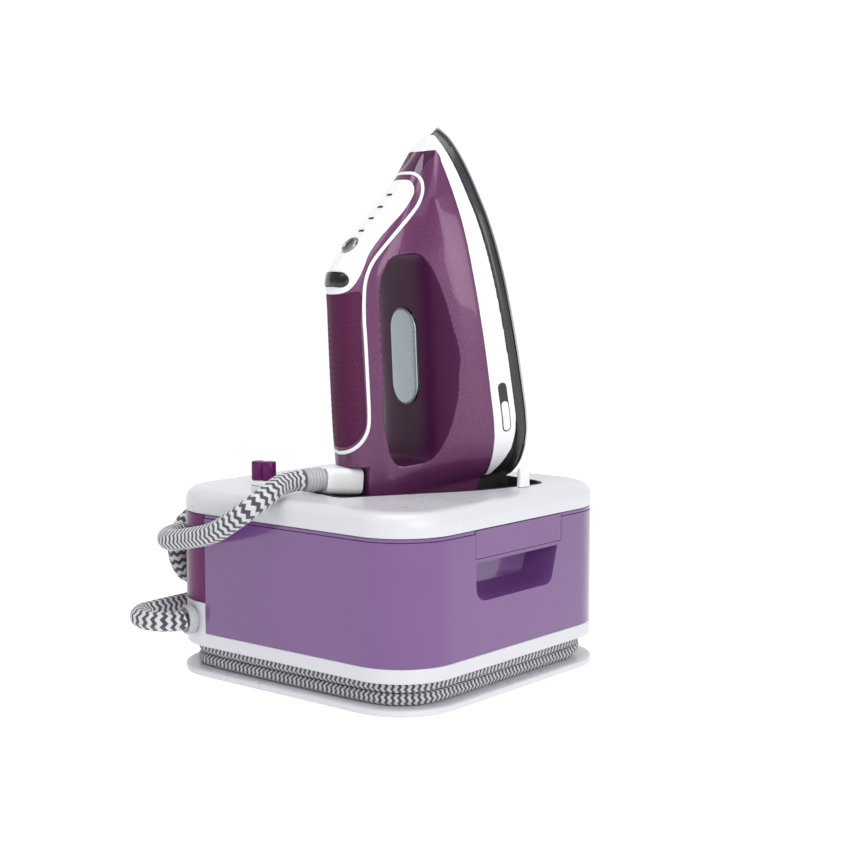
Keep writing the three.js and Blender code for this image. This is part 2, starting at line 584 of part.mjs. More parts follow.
// The heel: a flat pad under the whole iron that turns up into the black end of the skirt
function makeHeelCap() {
  const pad = above(bodyLoft(0.4, RIM_TOP + GAP).subtract(heelNotch), WELL_FLOOR + 0.5)
    .subtract(above(outside, WELL_FLOOR + 3.7));
  const hollow = above(bodyLoft(SHELL_WALL, -5), WELL_FLOOR + 3.5);
  const end = above(outside, WELL_FLOOR + 0.5).intersect(heelZone(0)).subtract(hollow);
  add(iron, 'heel_cap', geometryOf(pad.add(end)), BLACK, 0.6);
}

// A side-on zone with a gap taken off all round
function smaller(zone) {
  const moves = [[GAP, GAP], [GAP, -GAP], [-GAP, GAP], [-GAP, -GAP]];
  return moves.map(([y, z]) => zone.translate([0, y, z])).reduce((all, next) => all.intersect(next));
}

// Takes from the outside skin the part inside a side-on zone, down to the pit under it
function skin(zone, raise) {
  const grown = raise ? bodyLoft(-raise, RIM_TOP + GAP) : outside;
  return grown.subtract(bodyLoft(1.2 - GAP, RIM_TOP)).intersect(zone);
}

function makePanel() {
  let body = skin(smaller(sideBlock(PANEL_OUTLINE)), 0);
  body = body.subtract(solid(powerBlock(GAP))).subtract(solid(modeBlock(GAP)));
  for (const s of LED_PLACES) body = body.subtract(solid(ledBlock(s, 0.2)));
  add(iron, 'control_panel', geometryOf(body), WHITE, 0.2);
}

function makeGripAndWindow() {
  const grip = sideBlock(GRIP_OUTLINE.map(([s, t]) => [s + (s > 190 && t > 114 ? -GAP : 0), t]));
  add(iron, 'grip_pad', geometryOf(skin(grip, 0)), DARK_PLUM, 0.9);
  const strip = solid(box(-8.7, 8.7, -200, 0, -300, 0));
  const narrow = sideBlock([[15.5, 19.4], [24.6, 26], [24.6, 60], [15.1, 60]]).intersect(strip);
  const pane = outside.subtract(bodyLoft(0.6, RIM_TOP)).intersect(narrow);
  add(iron, 'nose_window', geometryOf(pane), DARK_PLUM, 0.1);
}

function makeTrim() {
  const zone = sideBlock(band(TRIM_LINE, TRIM_WIDTH));
  add(iron, 'trim_loop', geometryOf(skin(zone, 0.5)), WHITE, 0.2);
}

function arc(cx, cy, radius, from, to, count, zFrom, zTo, radiusTo = radius) {
  const points = [];
  for (let i = 0; i <= count; i++) {
    const u = i / count;
    const angle = (from + (to - from) * u) * Math.PI / 180;
    const r = radius + (radiusTo - radius) * u;
    points.push([cx + r * Math.cos(angle), cy + r * Math.sin(angle), zFrom + (zTo - zFrom) * u]);
  }
  return points;
}

function hoseRoute() {
  const coil = arc(COIL_X, COIL_Y, COIL_RADIUS_START, COIL_START, COIL_END, 18, COIL_Z, COIL_Z, COIL_RADIUS_END);
  const hanging = arc(BEND[1], BEND[2], BEND_RADIUS, 90, 270, 4, 0, 0).map(([y, z]) => [BEND[0], y, z]);
  const loop = arc(LOOP[0], LOOP[1], LOOP_RADIUS, 165, 343, 5, 41.3, 40.2);
  const out = [Math.cos(PORT_TURN), Math.sin(PORT_TURN)];
  const end = [PORT.x + 8 * out[0], PORT.y + 8 * out[1], PORT.z];
  const route = [...HOSE_FIRST, ...coil, ...HOSE_RISE, ...hanging, ...HOSE_RETURN, ...loop, end];
  return route.map((p) => new THREE.Vector3(...p));
}

function makeHose() {
  add(group, 'steam_hose', tube(hoseRoute(), HOSE_DIAMETER, 90, 8), 0xa9aaae, 0.8);
}

function makeCuff() {
  const start = new THREE.Vector3(2, -38, 137.8);
  const end = new THREE.Vector3(1.5, -66, 140.4);
  add(turned, 'hose_cuff', rod(start, end, 9.3, 9.1, 24), WHITE, 0.3);
  const profile = [[0, 0], [8.3, 0], [8.3, 2.4], [7.4, 2.8], [7.4, 4], [8.1, 4.4], [8.1, 6.4], [7.2, 6.8],
    [7.2, 8], [7.9, 8.4], [7.9, 10.4], [7.3, 13.6], [0, 13.6]];
  const sleeve = new THREE.LatheGeometry(profile.map(([x, y]) => new THREE.Vector2(x, y)), 20);
  const way = new THREE.Vector3(0, -1, 0.03).normalize();
  sleeve.applyQuaternion(new THREE.Quaternion().setFromUnitVectors(new THREE.Vector3(0, 1, 0), way));
  add(turned, 'hose_sleeve', sleeve.translate(1.5, -67.3, 141), 0xb9babd, 0.6);
}

// The mains lead: two turns in the channel, one above the other, then out at the back to its plug
function leadRoute() {
  const straight = LEAD_HALF - LEAD_CORNER;
  const corner = (sx, sy, from, z) => arc(sx * straight, sy * straight, LEAD_CORNER, from, from + 90, 4, z, z);
  const turn = (z) => [...corner(-1, 1, 90, z), ...corner(-1, -1, 180, z), ...corner(1, -1, 270, z)];
  const climb = arc(straight, straight, LEAD_CORNER, 0, 90, 4, LEAD_LOW, LEAD_HIGH);
  const last = arc(straight, straight, LEAD_CORNER, 0, 90, 4, LEAD_HIGH, LEAD_HIGH);
  const route = [[47.5, LEAD_HALF, LEAD_LOW], [0, LEAD_HALF, LEAD_LOW], ...turn(LEAD_LOW),
    [LEAD_HALF, 0, LEAD_LOW], [LEAD_HALF, 58, LEAD_LOW], ...climb,
    [60, LEAD_HALF, LEAD_HIGH], [0, LEAD_HALF, LEAD_HIGH], ...turn(LEAD_HIGH), ...last,
    [70, LEAD_HALF + 0.6, LEAD_HIGH], [57, LEAD_HALF + 4.5, 17.5], [47, 118, 12], [42, 131, 6.2],
    [33, 139.5, 4.4],
    [21, 142, 6.5], [8.6, 142, 11.8]];
  return route.map((p) => new THREE.Vector3(...p));
}

function makeLead() {
  add(group, 'mains_lead', tube(leadRoute(), LEAD_DIAMETER, 92, 8), 0xa2a3a8, 0.8);
  const boot = solid(rod(new THREE.Vector3(70, LEAD_HALF, LEAD_LOW), new THREE.Vector3(47.9, LEAD_HALF, LEAD_LOW),
    3.9, 3.8, 12));
  const block = solid(box(69, 77, CORE_HALF + 0.4, LEAD_HALF + 4, PLATE_TOP + GAP, 13.4));
  add(group, 'lead_gland', geometryOf(boot.add(block)), DARK_GREY, 0.6);
}

function makePlug() {
  const [x, y, z] = [7.6, 142, 18.4];
  const neck = solid(rod(new THREE.Vector3(x, y, 12.6), new THREE.Vector3(x - 26, y, 17), 5, 8.5, 16));
  const rings = [[24, 8], [34, 15], [58, 18.2], [62, 18.2]];
  const outlines = rings.map(([, r]) => roundedRect(r, r * 0.94, r * 0.6, 4));
  const head = solid(loft(outlines, (p, i) => new THREE.Vector3(x - rings[i][0], y + p.x, z + p.y)));
  const pins = [-9.5, 9.5].map((side) => solid(rod(new THREE.Vector3(x - 60, y + side, z),
    new THREE.Vector3(x - 81, y + side, z), 2.4, 2.2, 10)));
  add(group, 'mains_plug', geometryOf(neck.add(head).add(pins[0]).add(pins[1])), DARK_GREY, 0.5);
}

// A block on the ridge of the iron at s: x to the side, y along the ridge, z out of it
function onRidge(s, geometry, sink = 0) {
  const rise = (along(RIDGE, s + 2.5) - along(RIDGE, s - 2.5)) / 5;
  const size = Math.hypot(1, rise);
  const back = new THREE.Vector3(0, rise / size, 1 / size);
  const out = new THREE.Vector3(0, -1 / size, rise / size);
  const matrix = new THREE.Matrix4().makeBasis(new THREE.Vector3(1, 0, 0), back, out);
  const middle = (along(RIDGE, s - 2.5) + along(RIDGE, s + 2.5)) / 2;
  matrix.setPosition(new THREE.Vector3(0, -middle, -s).addScaledVector(out, -sink));
  return geometry.applyMatrix4(matrix);
}

const LED_PLACES = [40, 47, 53.5, 60.5];
const POWER_PLACE = 68.6;
const MODE_PLACE = 88.6;

function ledBlock(s, grow) {
  return onRidge(s, box(-3 - grow, 3 + grow, -0.9 - grow, 0.9 + grow, -0.25 - grow * 10, 0.45 + grow * 10), 0);
}

function powerBlock(grow) {
  return onRidge(POWER_PLACE, upright(6.6 + grow, 0, 0, -5 - grow * 20, 1.4 + grow * 20, 24), 0);
}

function modeBlock(grow) {
  const outline = roundedRect(13 + grow, 4.9 + grow, 4.6 + grow, 5);
  return onRidge(MODE_PLACE, prism(outline, -9 - grow * 10, 3 + grow * 20), 0);
}

const TRIGGER = { start: 94, end: 118, half: 7, bottom: 79.5, top: 90 };

function triggerBlock(grow) {
  const { start, end, half, bottom, top } = TRIGGER;
  const outline = roundedRect(half + grow, (end - start) / 2 + grow, 4, 4, 0, (start + end) / 2);
  return layer(outline, bottom - grow * 20, top + grow * 2);
}

function makeControls() {
  LED_PLACES.forEach((s, i) => add(iron, 'indicator_' + (i + 1), ledBlock(s, 0), BLACK, 0.4));
  add(iron, 'power_button', powerBlock(0), 0x9a9ba0, 0.3, 0.4);
  add(iron, 'mode_button', geometryOf(solid(modeBlock(0)).intersect(bodyLoft(-1.1, RIM_TOP))), BLACK, 0.3);
  add(iron, 'steam_trigger', triggerBlock(0), DARK_PLUM, 0.4);
}

function makeBadge() {
  const outline = roundedRect(15.6, 33.8, 15.5, 6, 0, 152.5);
  const badge = loft([outline, outline], (p, i) => new THREE.Vector3(p.x,
    -(along([[100, 51.4], [200, 64]], p.y) + (i ? 2.2 : 1)), -p.y));
  add(iron, 'deck_badge', badge, 0xb9c4cd, 0.3);
}

function makeSideInserts() {
  const outline = roundedRect(17.5, 4.2, 4.1, 4, 195, 17.6).map((p) => [p.x, p.y]);
  const strip = bodyLoft(-1.1, RIM_TOP + GAP).subtract(bodyLoft(-GAP, RIM_TOP)).intersect(sideBlock(outline));
  const sides = [['side_insert_right', box(0, 90, -200, 0, -300, 0)], ['side_insert_left',
    box(-90, 0, -200, 0, -300, 0)]];
  for (const [name, half] of sides) add(iron, name, geometryOf(strip.intersect(solid(half))), BLACK, 0.4);
}

function makeSteamPipe() {
  const pipe = rod(new THREE.Vector3(0, -15.4, -234), new THREE.Vector3(0, -98, -236), 4, 4, 12);
  add(iron, 'steam_pipe', pipe, STEEL, 0.4, 0.7);
}

makeBasePan();
makeFeet();
makeTray();
makeHousing();
makeTank();
makeFlap();
makeInletValve();
makeCover();
makeWellLiner();
makeSoleRest();
makeLock();
makeInnards();
makePort();
makeSole();
makeBodyShell();
makeSkirt();
makeHeelCap();
makePanel();
makeTrim();
makeGripAndWindow();
makeControls();
makeBadge();
makeSideInserts();
makeSteamPipe();
makeCuff();
makeHose();
makeLead();
makePlug();

export default group;
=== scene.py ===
"""Steam generator iron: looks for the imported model."""
import math

import bmesh
import bpy
import numpy as np
from mathutils import Matrix, Vector
from mathutils.bvhtree import BVHTree


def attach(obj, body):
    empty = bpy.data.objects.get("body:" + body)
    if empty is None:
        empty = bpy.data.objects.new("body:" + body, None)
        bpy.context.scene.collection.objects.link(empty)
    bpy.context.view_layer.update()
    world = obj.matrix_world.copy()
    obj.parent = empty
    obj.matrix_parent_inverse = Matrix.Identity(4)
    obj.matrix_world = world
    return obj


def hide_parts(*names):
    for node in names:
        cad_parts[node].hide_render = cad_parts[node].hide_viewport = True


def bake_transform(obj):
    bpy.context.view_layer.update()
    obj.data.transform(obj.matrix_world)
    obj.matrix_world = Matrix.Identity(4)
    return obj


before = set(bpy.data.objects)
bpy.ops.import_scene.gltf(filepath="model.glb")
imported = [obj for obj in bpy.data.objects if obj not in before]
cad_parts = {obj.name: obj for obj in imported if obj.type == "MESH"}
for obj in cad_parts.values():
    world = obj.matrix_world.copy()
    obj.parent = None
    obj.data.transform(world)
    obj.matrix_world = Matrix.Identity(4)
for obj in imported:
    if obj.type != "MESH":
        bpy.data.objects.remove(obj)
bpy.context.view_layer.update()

MM = 0.001

# ---------------------------------------------------------------- sizes, as in the CAD
BASE_HALF, CORNER = 114.5, 42.0
PLATE_LOW, PLATE_TOP = 1.9, 6.2
CORE_HALF = 96.8
BAND_BOTTOM, BAND_TOP, COLLAR_TOP = 22.6, 32.6, 53.8
TANK_TOP, COVER_BOTTOM, COVER_TOP = 115.6, 115.9, 132.0
TANK_LEFT, TANK_BACK, TANK_INNER = -70.0, -58.0, 56.0
RECESS = dict(left=-48.0, right=45.0, bottom=66.7, top=94.0, depth=23.0)
WELL = (10.7, -2.7)
TURN, LEAN = math.radians(-14), math.radians(10)
TIP_ALONG, TIP_Z, WELL_FLOOR = 35.0, 383.0, 120.4
SOLE_LENGTH, SOLE_THICK, GAP, WALL = 254.0, 2.2, 0.3, 2.5
SOLE_HALF_WIDTH = [[0, 0.6], [3, 5], [7, 10.5], [18, 20], [32, 28.5], [48, 36], [65, 43], [89, 49.5],
                   [123, 54.5], [161, 57], [197, 57.5], [212, 56.3], [223, 53], [235, 46.5], [244, 38],
                   [251, 26], [254, 12]]
RIDGE = [[4, 10], [13, 19], [20, 27], [30, 38.5], [43, 54.3], [64.5, 83.5], [76, 98.5], [84, 106],
         [92, 109.5], [109, 111.7], [157, 118], [205, 123.4], [262, 127]]
RIDGE_HALF_WIDTH = [[4, 2], [13, 5], [20, 7.5], [30, 12], [43, 16], [64, 18], [90, 17.5], [262, 17.5]]
SKIRT_TOP = [[4, 12], [15, 17], [50, 20], [100, 24], [150, 26], [222, 28], [262, 29]]
HEEL_HALF_WIDTH = 38.0
OPENING_START, OPENING_END, OPENING_SQUARENESS = 80.0, 223.5, 4.5
DECK_CROWN = [[80, 49], [100, 51], [119, 53], [140, 55.7], [161, 58.2], [180, 60.6], [200, 62.5], [224, 64]]
DECK_DROP = [[80, 12], [102, 13], [119, 14], [142, 15.6], [162, 16.3], [185, 17.9], [224, 19]]
DECK_CURVE, DECK_HALF = 5, 48
HANDLE_UNDERSIDE = [[78, 74.5], [92, 80.5], [100, 82.5], [114, 84.2], [162, 90], [190, 94], [224, 96.5]]
PANEL_EDGE = [[30, 46], [31, 39.5], [36, 38.6], [40, 40], [44, 43.2], [51.4, 51.9],
              [58.7, 63.3], [68.4, 77.1],
              [76, 85.6], [84.9, 92.1], [91.8, 97.8], [96.8, 103.5], [98.9, 109.2], [99, 125]]
TRIM_LINE = [[0, 35.5, 27.2], [9, 34.4, 28], [12.7, 31.9, 31], [17.3, 33.7, 36], [20.4, 37, 41.7],
             [20.9, 41.7, 48.1], [19.6, 48.1, 54.1], [18.2, 60, 63.2], [17.5, 73.7, 73], [17.1, 84.7, 81.2],
             [16.8, 91, 90.1], [16.6, 94.4, 99.5], [16.4, 97.8, 119], [16.5, 98.6, 129.6], [16.6, 102.5, 162],
             [16.6, 105.1, 183.8], [16.4, 107.1, 192.3], [15.7, 111, 198.2], [14, 116.1, 202.7],
             [9.1, 121.3, 205.8], [0, 123.5, 206.9]]
TRIM_HALF, GROOVE_HALF = 1.3, 1.5
TRIM_PROFILE = [(1, -1.2), (1, 0.05), (0.94, 0.24), (0.75, 0.4), (0.4, 0.5), (0, 0.53), (-0.4, 0.5),
                (-0.75, 0.4), (-0.94, 0.24), (-1, 0.05), (-1, -1.2)]
GROOVE_PROFILE = [(1, -1.4), (1, 3), (-1, 3), (-1, -1.4)]
GRIP_EDGE = [[99.5, 109], [99.8, 97.6], [119, 100.6], [162, 105.3], [183.4, 107.8], [190.6, 109.5],
             [195.6, 112.8], [199.8, 117.6], [202.4, 122.6], [203, 130]]
HEEL_ZONE = [[200, -10], [200, 7.5], [203.4, 9], [214.7, 10.4], [226.2, 12.4], [231.6, 15.2], [235.9, 17.9],
             [240, 21.5], [243.3, 24], [243.6, 32], [250, 35], [256, 37], [275, 39], [275, -10]]
HEEL_NOTCH = [[218.6, 110.6], [208.5, 168], [310, 168], [296, 124.3]]
WINDOW = [[11, 17.3], [14.3, 18], [17.2, 19.4], [19.3, 21.8], [30.1, 31.4], [27.5, 35], [24, 60], [11, 60]]
POWER_AT, POWER_RADIUS, MODE_AT = 68.6, 6.6, 88.6
ROOM_LIGHT, BACKDROP_LIGHT, FLOOR_HALF = 0.36, 1.02, 30
HOSE_DIAMETER, LEAD_DIAMETER = 14.4, 7.8
HOSE_PITCH, HOSE_ZIGZAGS, LEAD_PITCH, LEAD_ZIGZAGS, ZIGZAG = 5.3, 8, 3.9, 6, 0.65
PORT, PORT_TURN = (-84.8, -112.7, 40.6), math.radians(253)
LEAD_LOW, LEAD_HIGH, LEAD_HALF, LEAD_CORNER = 10.4, 18.6, 103.0, 30.5
HOSE_FIRST = [[-8.2, -83.3, 141.6], [-9.6, -90, 141.4], [-7.6, -103, 140.4], [-2, -120, 136.6],
              [-4, -134, 129.4], [-16, -138, 120.5], [-35.5, -137, 110.2], [-68, -130, 101.7],
              [-96, -123, 96.3],
              [-113, -109.5, 95.2], [-122, -92, 94.6], [-124.5, -72, 93.6], [-124.8, -40, 90], [-125, -5, 80],
              [-125.5, 30, 64], [-126, 62, 47], [-124, 88, 33], [-115, 112, 20], [-99, 131.5, 11]]
COIL = dict(x=-150, y=184, z=7.5, start=-26.7, end=540, r0=76, r1=51.4)
HOSE_RISE = [[-203, 166, 13.5], [-204, 146, 24], [-199, 120, 36], [-188, 88, 52], [-173, 54, 71],
             [-157, 16, 89], [-144, -18, 100.5], [-138, -40, 104]]
BEND, BEND_RADIUS = (-137, -56, 80), 24
HOSE_RETURN = [[-139, -30, 50], [-146, 0, 38], [-161, 28, 24], [-183, 43, 13], [-205, 36, 8.6],
               [-213, 14, 7.8], [-203, -9, 9.5], [-181, -23, 16], [-156, -33, 26], [-138, -50, 36],
               [-129, -72, 40.5], [-126.5, -92, 41.3]]
LOOP, LOOP_RADIUS = (-106.4, -116.6), 19.5


# ---------------------------------------------------------------- camera
def make_camera():
    data = bpy.data.cameras.new("camera")
    data.lens = 68.0
    data.sensor_width = 36.0
    data.dof.use_dof = False
    data.clip_start = 0.05
    camera = bpy.data.objects.new("camera", data)
    bpy.context.scene.collection.objects.link(camera)
    yaw, pitch = math.radians(39.52), math.radians(5.76)
    way = Vector((-math.sin(yaw) * math.cos(pitch), math.cos(yaw) * math.cos(pitch), -math.sin(pitch)))
    camera.location = (0.7407, -0.8593, 0.288)
    camera.rotation_euler = way.to_track_quat("-Z", "Y").to_euler()
    bpy.context.scene.camera = camera


make_camera()


# ---------------------------------------------------------------- routes of hose and lead
def arc(cx, cy, radius, start, end, count, z0, z1, radius_to=None):
    radius_to = radius if radius_to is None else radius_to
    points = []
    for i in range(count + 1):
        u = i / count
        a = math.radians(start + (end - start) * u)
        r = radius + (radius_to - radius) * u
        points.append([cx + r * math.cos(a), cy + r * math.sin(a), z0 + (z1 - z0) * u])
    return points


def hose_route():
    coil = arc(COIL["x"], COIL["y"], COIL["r0"], COIL["start"], COIL["end"], 18, COIL["z"],
               COIL["z"], COIL["r1"])
    hanging = [[BEND[0], y, z] for y, z, _ in arc(BEND[1], BEND[2], BEND_RADIUS, 90, 270, 4, 0, 0)]
    loop = arc(LOOP[0], LOOP[1], LOOP_RADIUS, 165, 343, 5, 41.3, 40.2)
    end = [PORT[0] + 8 * math.cos(PORT_TURN), PORT[1] + 8 * math.sin(PORT_TURN), PORT[2]]
    return HOSE_FIRST + coil + HOSE_RISE + hanging + HOSE_RETURN + loop + [end]


def lead_route():
    s = LEAD_HALF - LEAD_CORNER

    def corner(sx, sy, start, z0, z1):
        return arc(sx * s, sy * s, LEAD_CORNER, start, start + 90, 4, z0, z1)

    def turn(z):
        return corner(-1, 1, 90, z, z) + corner(-1, -1, 180, z, z) + corner(1, -1, 270, z, z)

    return ([[47.5, LEAD_HALF, LEAD_LOW], [0, LEAD_HALF, LEAD_LOW]] + turn(LEAD_LOW)
            + [[LEAD_HALF, 0, LEAD_LOW], [LEAD_HALF, 58, LEAD_LOW]] + corner(1, 1, 0, LEAD_LOW, LEAD_HIGH)
            + [[60, LEAD_HALF, LEAD_HIGH], [0, LEAD_HALF, LEAD_HIGH]] + turn(LEAD_HIGH)
            + corner(1, 1, 0, LEAD_HIGH, LEAD_HIGH)
            + [[70, LEAD_HALF + 0.6, LEAD_HIGH], [57, LEAD_HALF + 4.5, 17.5], [47, 118, 12], [42, 131, 6.2],
               [33, 139.5, 4.4], [21, 142, 6.5], [8.6, 142, 11.8]])


def spline(points, step):
    """Centripetal Catmull-Rom through the points, at even steps, in millimetres."""
    p = np.array(points, float)
    keep = np.r_[True, np.linalg.norm(np.diff(p, axis=0), axis=1) > 0.05]
    p = p[keep]
    p = np.vstack([2 * p[0] - p[1], p, 2 * p[-1] - p[-2]])
    out = []
    for i in range(1, len(p) - 2):
        t0 = 0.0
        t1 = t0 + np.linalg.norm(p[i] - p[i - 1]) ** 0.5
        t2 = t1 + np.linalg.norm(p[i + 1] - p[i]) ** 0.5
        t3 = t2 + np.linalg.norm(p[i + 2] - p[i + 1]) ** 0.5
        t = np.linspace(t1, t2, 24, endpoint=False)[:, None]
        a1 = (t1 - t) / (t1 - t0) * p[i - 1] + (t - t0) / (t1 - t0) * p[i]
        a2 = (t2 - t) / (t2 - t1) * p[i] + (t - t1) / (t2 - t1) * p[i + 1]
        a3 = (t3 - t) / (t3 - t2) * p[i + 1] + (t - t2) / (t3 - t2) * p[i + 2]
        b1 = (t2 - t) / (t2 - t0) * a1 + (t - t0) / (t2 - t0) * a2
        b2 = (t3 - t) / (t3 - t1) * a2 + (t - t1) / (t3 - t1) * a3
        out.append((t2 - t) / (t2 - t1) * b1 + (t - t1) / (t2 - t1) * b2)
    line = np.vstack(out + [p[-2:-1]])
    along = np.r_[0, np.cumsum(np.linalg.norm(np.diff(line, axis=0), axis=1))]
    at = np.linspace(0, along[-1], max(2, int(along[-1] / step) + 1))
    return np.stack([np.interp(at, along, line[:, k]) for k in range(3)], axis=1), along[-1]


# ---------------------------------------------------------------- mesh helpers
def new_object(name, mesh, matrix=None):
    obj = bpy.data.objects.new(name, mesh)
    bpy.context.scene.collection.objects.link(obj)
    if matrix is not None:
        obj.matrix_world = matrix
    return obj


def mesh_from(name, verts, faces):
    mesh = bpy.data.meshes.new(name)
    mesh.from_pydata([tuple(v) for v in np.asarray(verts, float)], [], faces)
    mesh.validate()
    mesh.update()
    return mesh


def outward(mesh):
    bm = bmesh.new()
    bm.from_mesh(mesh)
    bmesh.ops.recalc_face_normals(bm, faces=bm.faces)
    bm.to_mesh(mesh)
    bm.free()
    return mesh


def rings_mesh(name, rings):
    """A skin over rings of points, each an (n, 3) array in millimetres."""
    rings = [np.asarray(r, float) for r in rings]
    n = len(rings[0])
    verts = np.vstack(rings) * MM
    faces = []
    for i in range(len(rings) - 1):
        for j in range(n):
            k = (j + 1) % n
            faces.append((i * n + j, i * n + k, (i + 1) * n + k, (i + 1) * n + j))
    faces.append(tuple(range(n))[::-1])
    faces.append(tuple((len(rings) - 1) * n + j for j in range(n)))
    return outward(mesh_from(name, verts, faces))


def boolean(mesh, other, operation):
    a = new_object("bool_a", mesh)
    b = new_object("bool_b", other)
    modifier = a.modifiers.new("cut", "BOOLEAN")
    modifier.operation = operation
    modifier.object = b
    modifier.solver = "MANIFOLD"
    graph = bpy.context.evaluated_depsgraph_get()
    graph.update()
    result = bpy.data.meshes.new_from_object(a.evaluated_get(graph))
    bpy.data.objects.remove(a)
    bpy.data.objects.remove(b)
    return result


def cut(mesh, *others):
    for other in others:
        mesh = boolean(mesh, other, "DIFFERENCE")
    return mesh


def join(mesh, *others):
    for other in others:
        mesh = boolean(mesh, other, "UNION")
    return mesh


def common(mesh, *others):
    for other in others:
        mesh = boolean(mesh, other, "INTERSECT")
    return mesh


def remeshed(mesh, voxel, smooth):
    a = new_object("remesh", mesh)
    modifier = a.modifiers.new("remesh", "REMESH")
    modifier.mode = "VOXEL"
    modifier.voxel_size = voxel * MM
    modifier.adaptivity = 0.0
    relax = a.modifiers.new("smooth", "SMOOTH")
    relax.factor = 0.5
    relax.iterations = smooth
    graph = bpy.context.evaluated_depsgraph_get()
    graph.update()
    result = bpy.data.meshes.new_from_object(a.evaluated_get(graph))
    bpy.data.objects.remove(a)
    return result


def inflated(mesh, distance):
    copy = mesh.copy()
    normals = np.zeros(len(copy.vertices) * 3)
    copy.vertices.foreach_get("normal", normals)
    points = np.zeros(len(copy.vertices) * 3)
    copy.vertices.foreach_get("co", points)
    copy.vertices.foreach_set("co", points + normals * distance * MM)
    copy.update()
    return copy


def moved(mesh, matrix):
    copy = mesh.copy()
    copy.transform(matrix)
    return copy


def shade(obj, angle=35):
    mesh = obj.data
    mesh.polygons.foreach_set("use_smooth", np.ones(len(mesh.polygons), bool))
    mesh.set_sharp_from_angle(angle=math.radians(angle))
    return obj


def rounded_rect(half_x, half_y, radius, steps=16, cx=0.0, cy=0.0):
    points = []
    for sx, sy, start in ((1, 1, 0), (-1, 1, 90), (-1, -1, 180), (1, -1, 270)):
        for i in range(steps + 1):
            a = math.radians(start + 90 * i / steps)
            points.append((cx + sx * (half_x - radius) + radius * math.cos(a),
                           cy + sy * (half_y - radius) + radius * math.sin(a)))
    return np.array(points)


def rounded_polygon(corners, radii, steps=8):
    points = []
    n = len(corners)
    for i, here in enumerate(corners):
        here = np.array(here, float)
        before, after = np.array(corners[i - 1], float), np.array(corners[(i + 1) % n], float)
        a = here + (before - here) / np.linalg.norm(before - here) * radii[i]
        b = here + (after - here) / np.linalg.norm(after - here) * radii[i]
        for k in range(steps + 1):
            u = k / steps
            points.append((1 - u) ** 2 * a + 2 * u * (1 - u) * here + u ** 2 * b)
    return np.array(points)


def flat_ring(outline, z):
    return np.column_stack([outline, np.full(len(outline), z)])


def prism(outline, z0, z1):
    return rings_mesh("prism", [flat_ring(np.asarray(outline, float), z) for z in (z0, z1)])


def block(x0, x1, y0, y1, z0, z1):
    return prism([(x0, y0), (x1, y0), (x1, y1), (x0, y1)], z0, z1)


def soft_block(half, radius, z0, z1, low, high):
    """A rounded square block whose lower and upper edges are rounded."""
    rings = []
    for i in range(5):
        a = math.pi / 2 * i / 4
        rings.append((low * (1 - math.sin(a)), z0 + low * (1 - math.cos(a))))
    for i in range(5):
        a = math.pi / 2 * i / 4
        rings.append((high * (1 - math.cos(a)), z1 - high * (1 - math.sin(a))))
    return rings_mesh("block", [flat_ring(rounded_rect(half - d, half - d, radius - d, 20), z)
                                for d, z in rings])


def lathe(profile, steps=48):
    """Turned about Z; profile is (radius, z) pairs, the first and last on the axis."""
    rings = []
    for r, z in profile:
        a = np.linspace(0, 2 * math.pi, steps, endpoint=False)
        rings.append(np.column_stack([max(r, 0.01) * np.cos(a), max(r, 0.01) * np.sin(a), np.full(steps, z)]))
    return rings_mesh("lathe", rings)


def aim(mesh, start, way):
    turn = Vector((0, 0, 1)).rotation_difference(Vector(way).normalized()).to_matrix().to_4x4()
    return moved(mesh, Matrix.Translation(Vector(start) * MM) @ turn)


# ---------------------------------------------------------------- materials
def node_material(name):
    material = bpy.data.materials.new(name)
    material.use_nodes = True
    tree = material.node_tree
    tree.nodes.clear()
    output = tree.nodes.new("ShaderNodeOutputMaterial")
    shader = tree.nodes.new("ShaderNodeBsdfPrincipled")
    tree.links.new(shader.outputs[0], output.inputs[0])
    return material, tree, shader


def rgb(hexcode):
    values = [int(hexcode[i:i + 2], 16) / 255 for i in (0, 2, 4)]
    return tuple(v / 12.92 if v <= 0.04045 else ((v + 0.055) / 1.055) ** 2.4 for v in values) + (1.0,)


def feed(tree, made, inputs):
    """Gives each input of a node its value, or links it to the socket that feeds it."""
    for name, value in inputs.items():
        if isinstance(value, bpy.types.NodeSocket):
            tree.links.new(value, made.inputs[name])
        else:
            made.inputs[name].default_value = value
    return made


def node(tree, kind, inputs, **settings):
    made = tree.nodes.new("ShaderNode" + kind)
    for name, value in settings.items():
        setattr(made, name, value)
    return feed(tree, made, inputs)


def color_mix(tree, amount, first, second, blend="MIX"):
    return node(tree, "Mix", {0: amount, 6: first, 7: second}, data_type="RGBA", blend_type=blend).outputs[2]


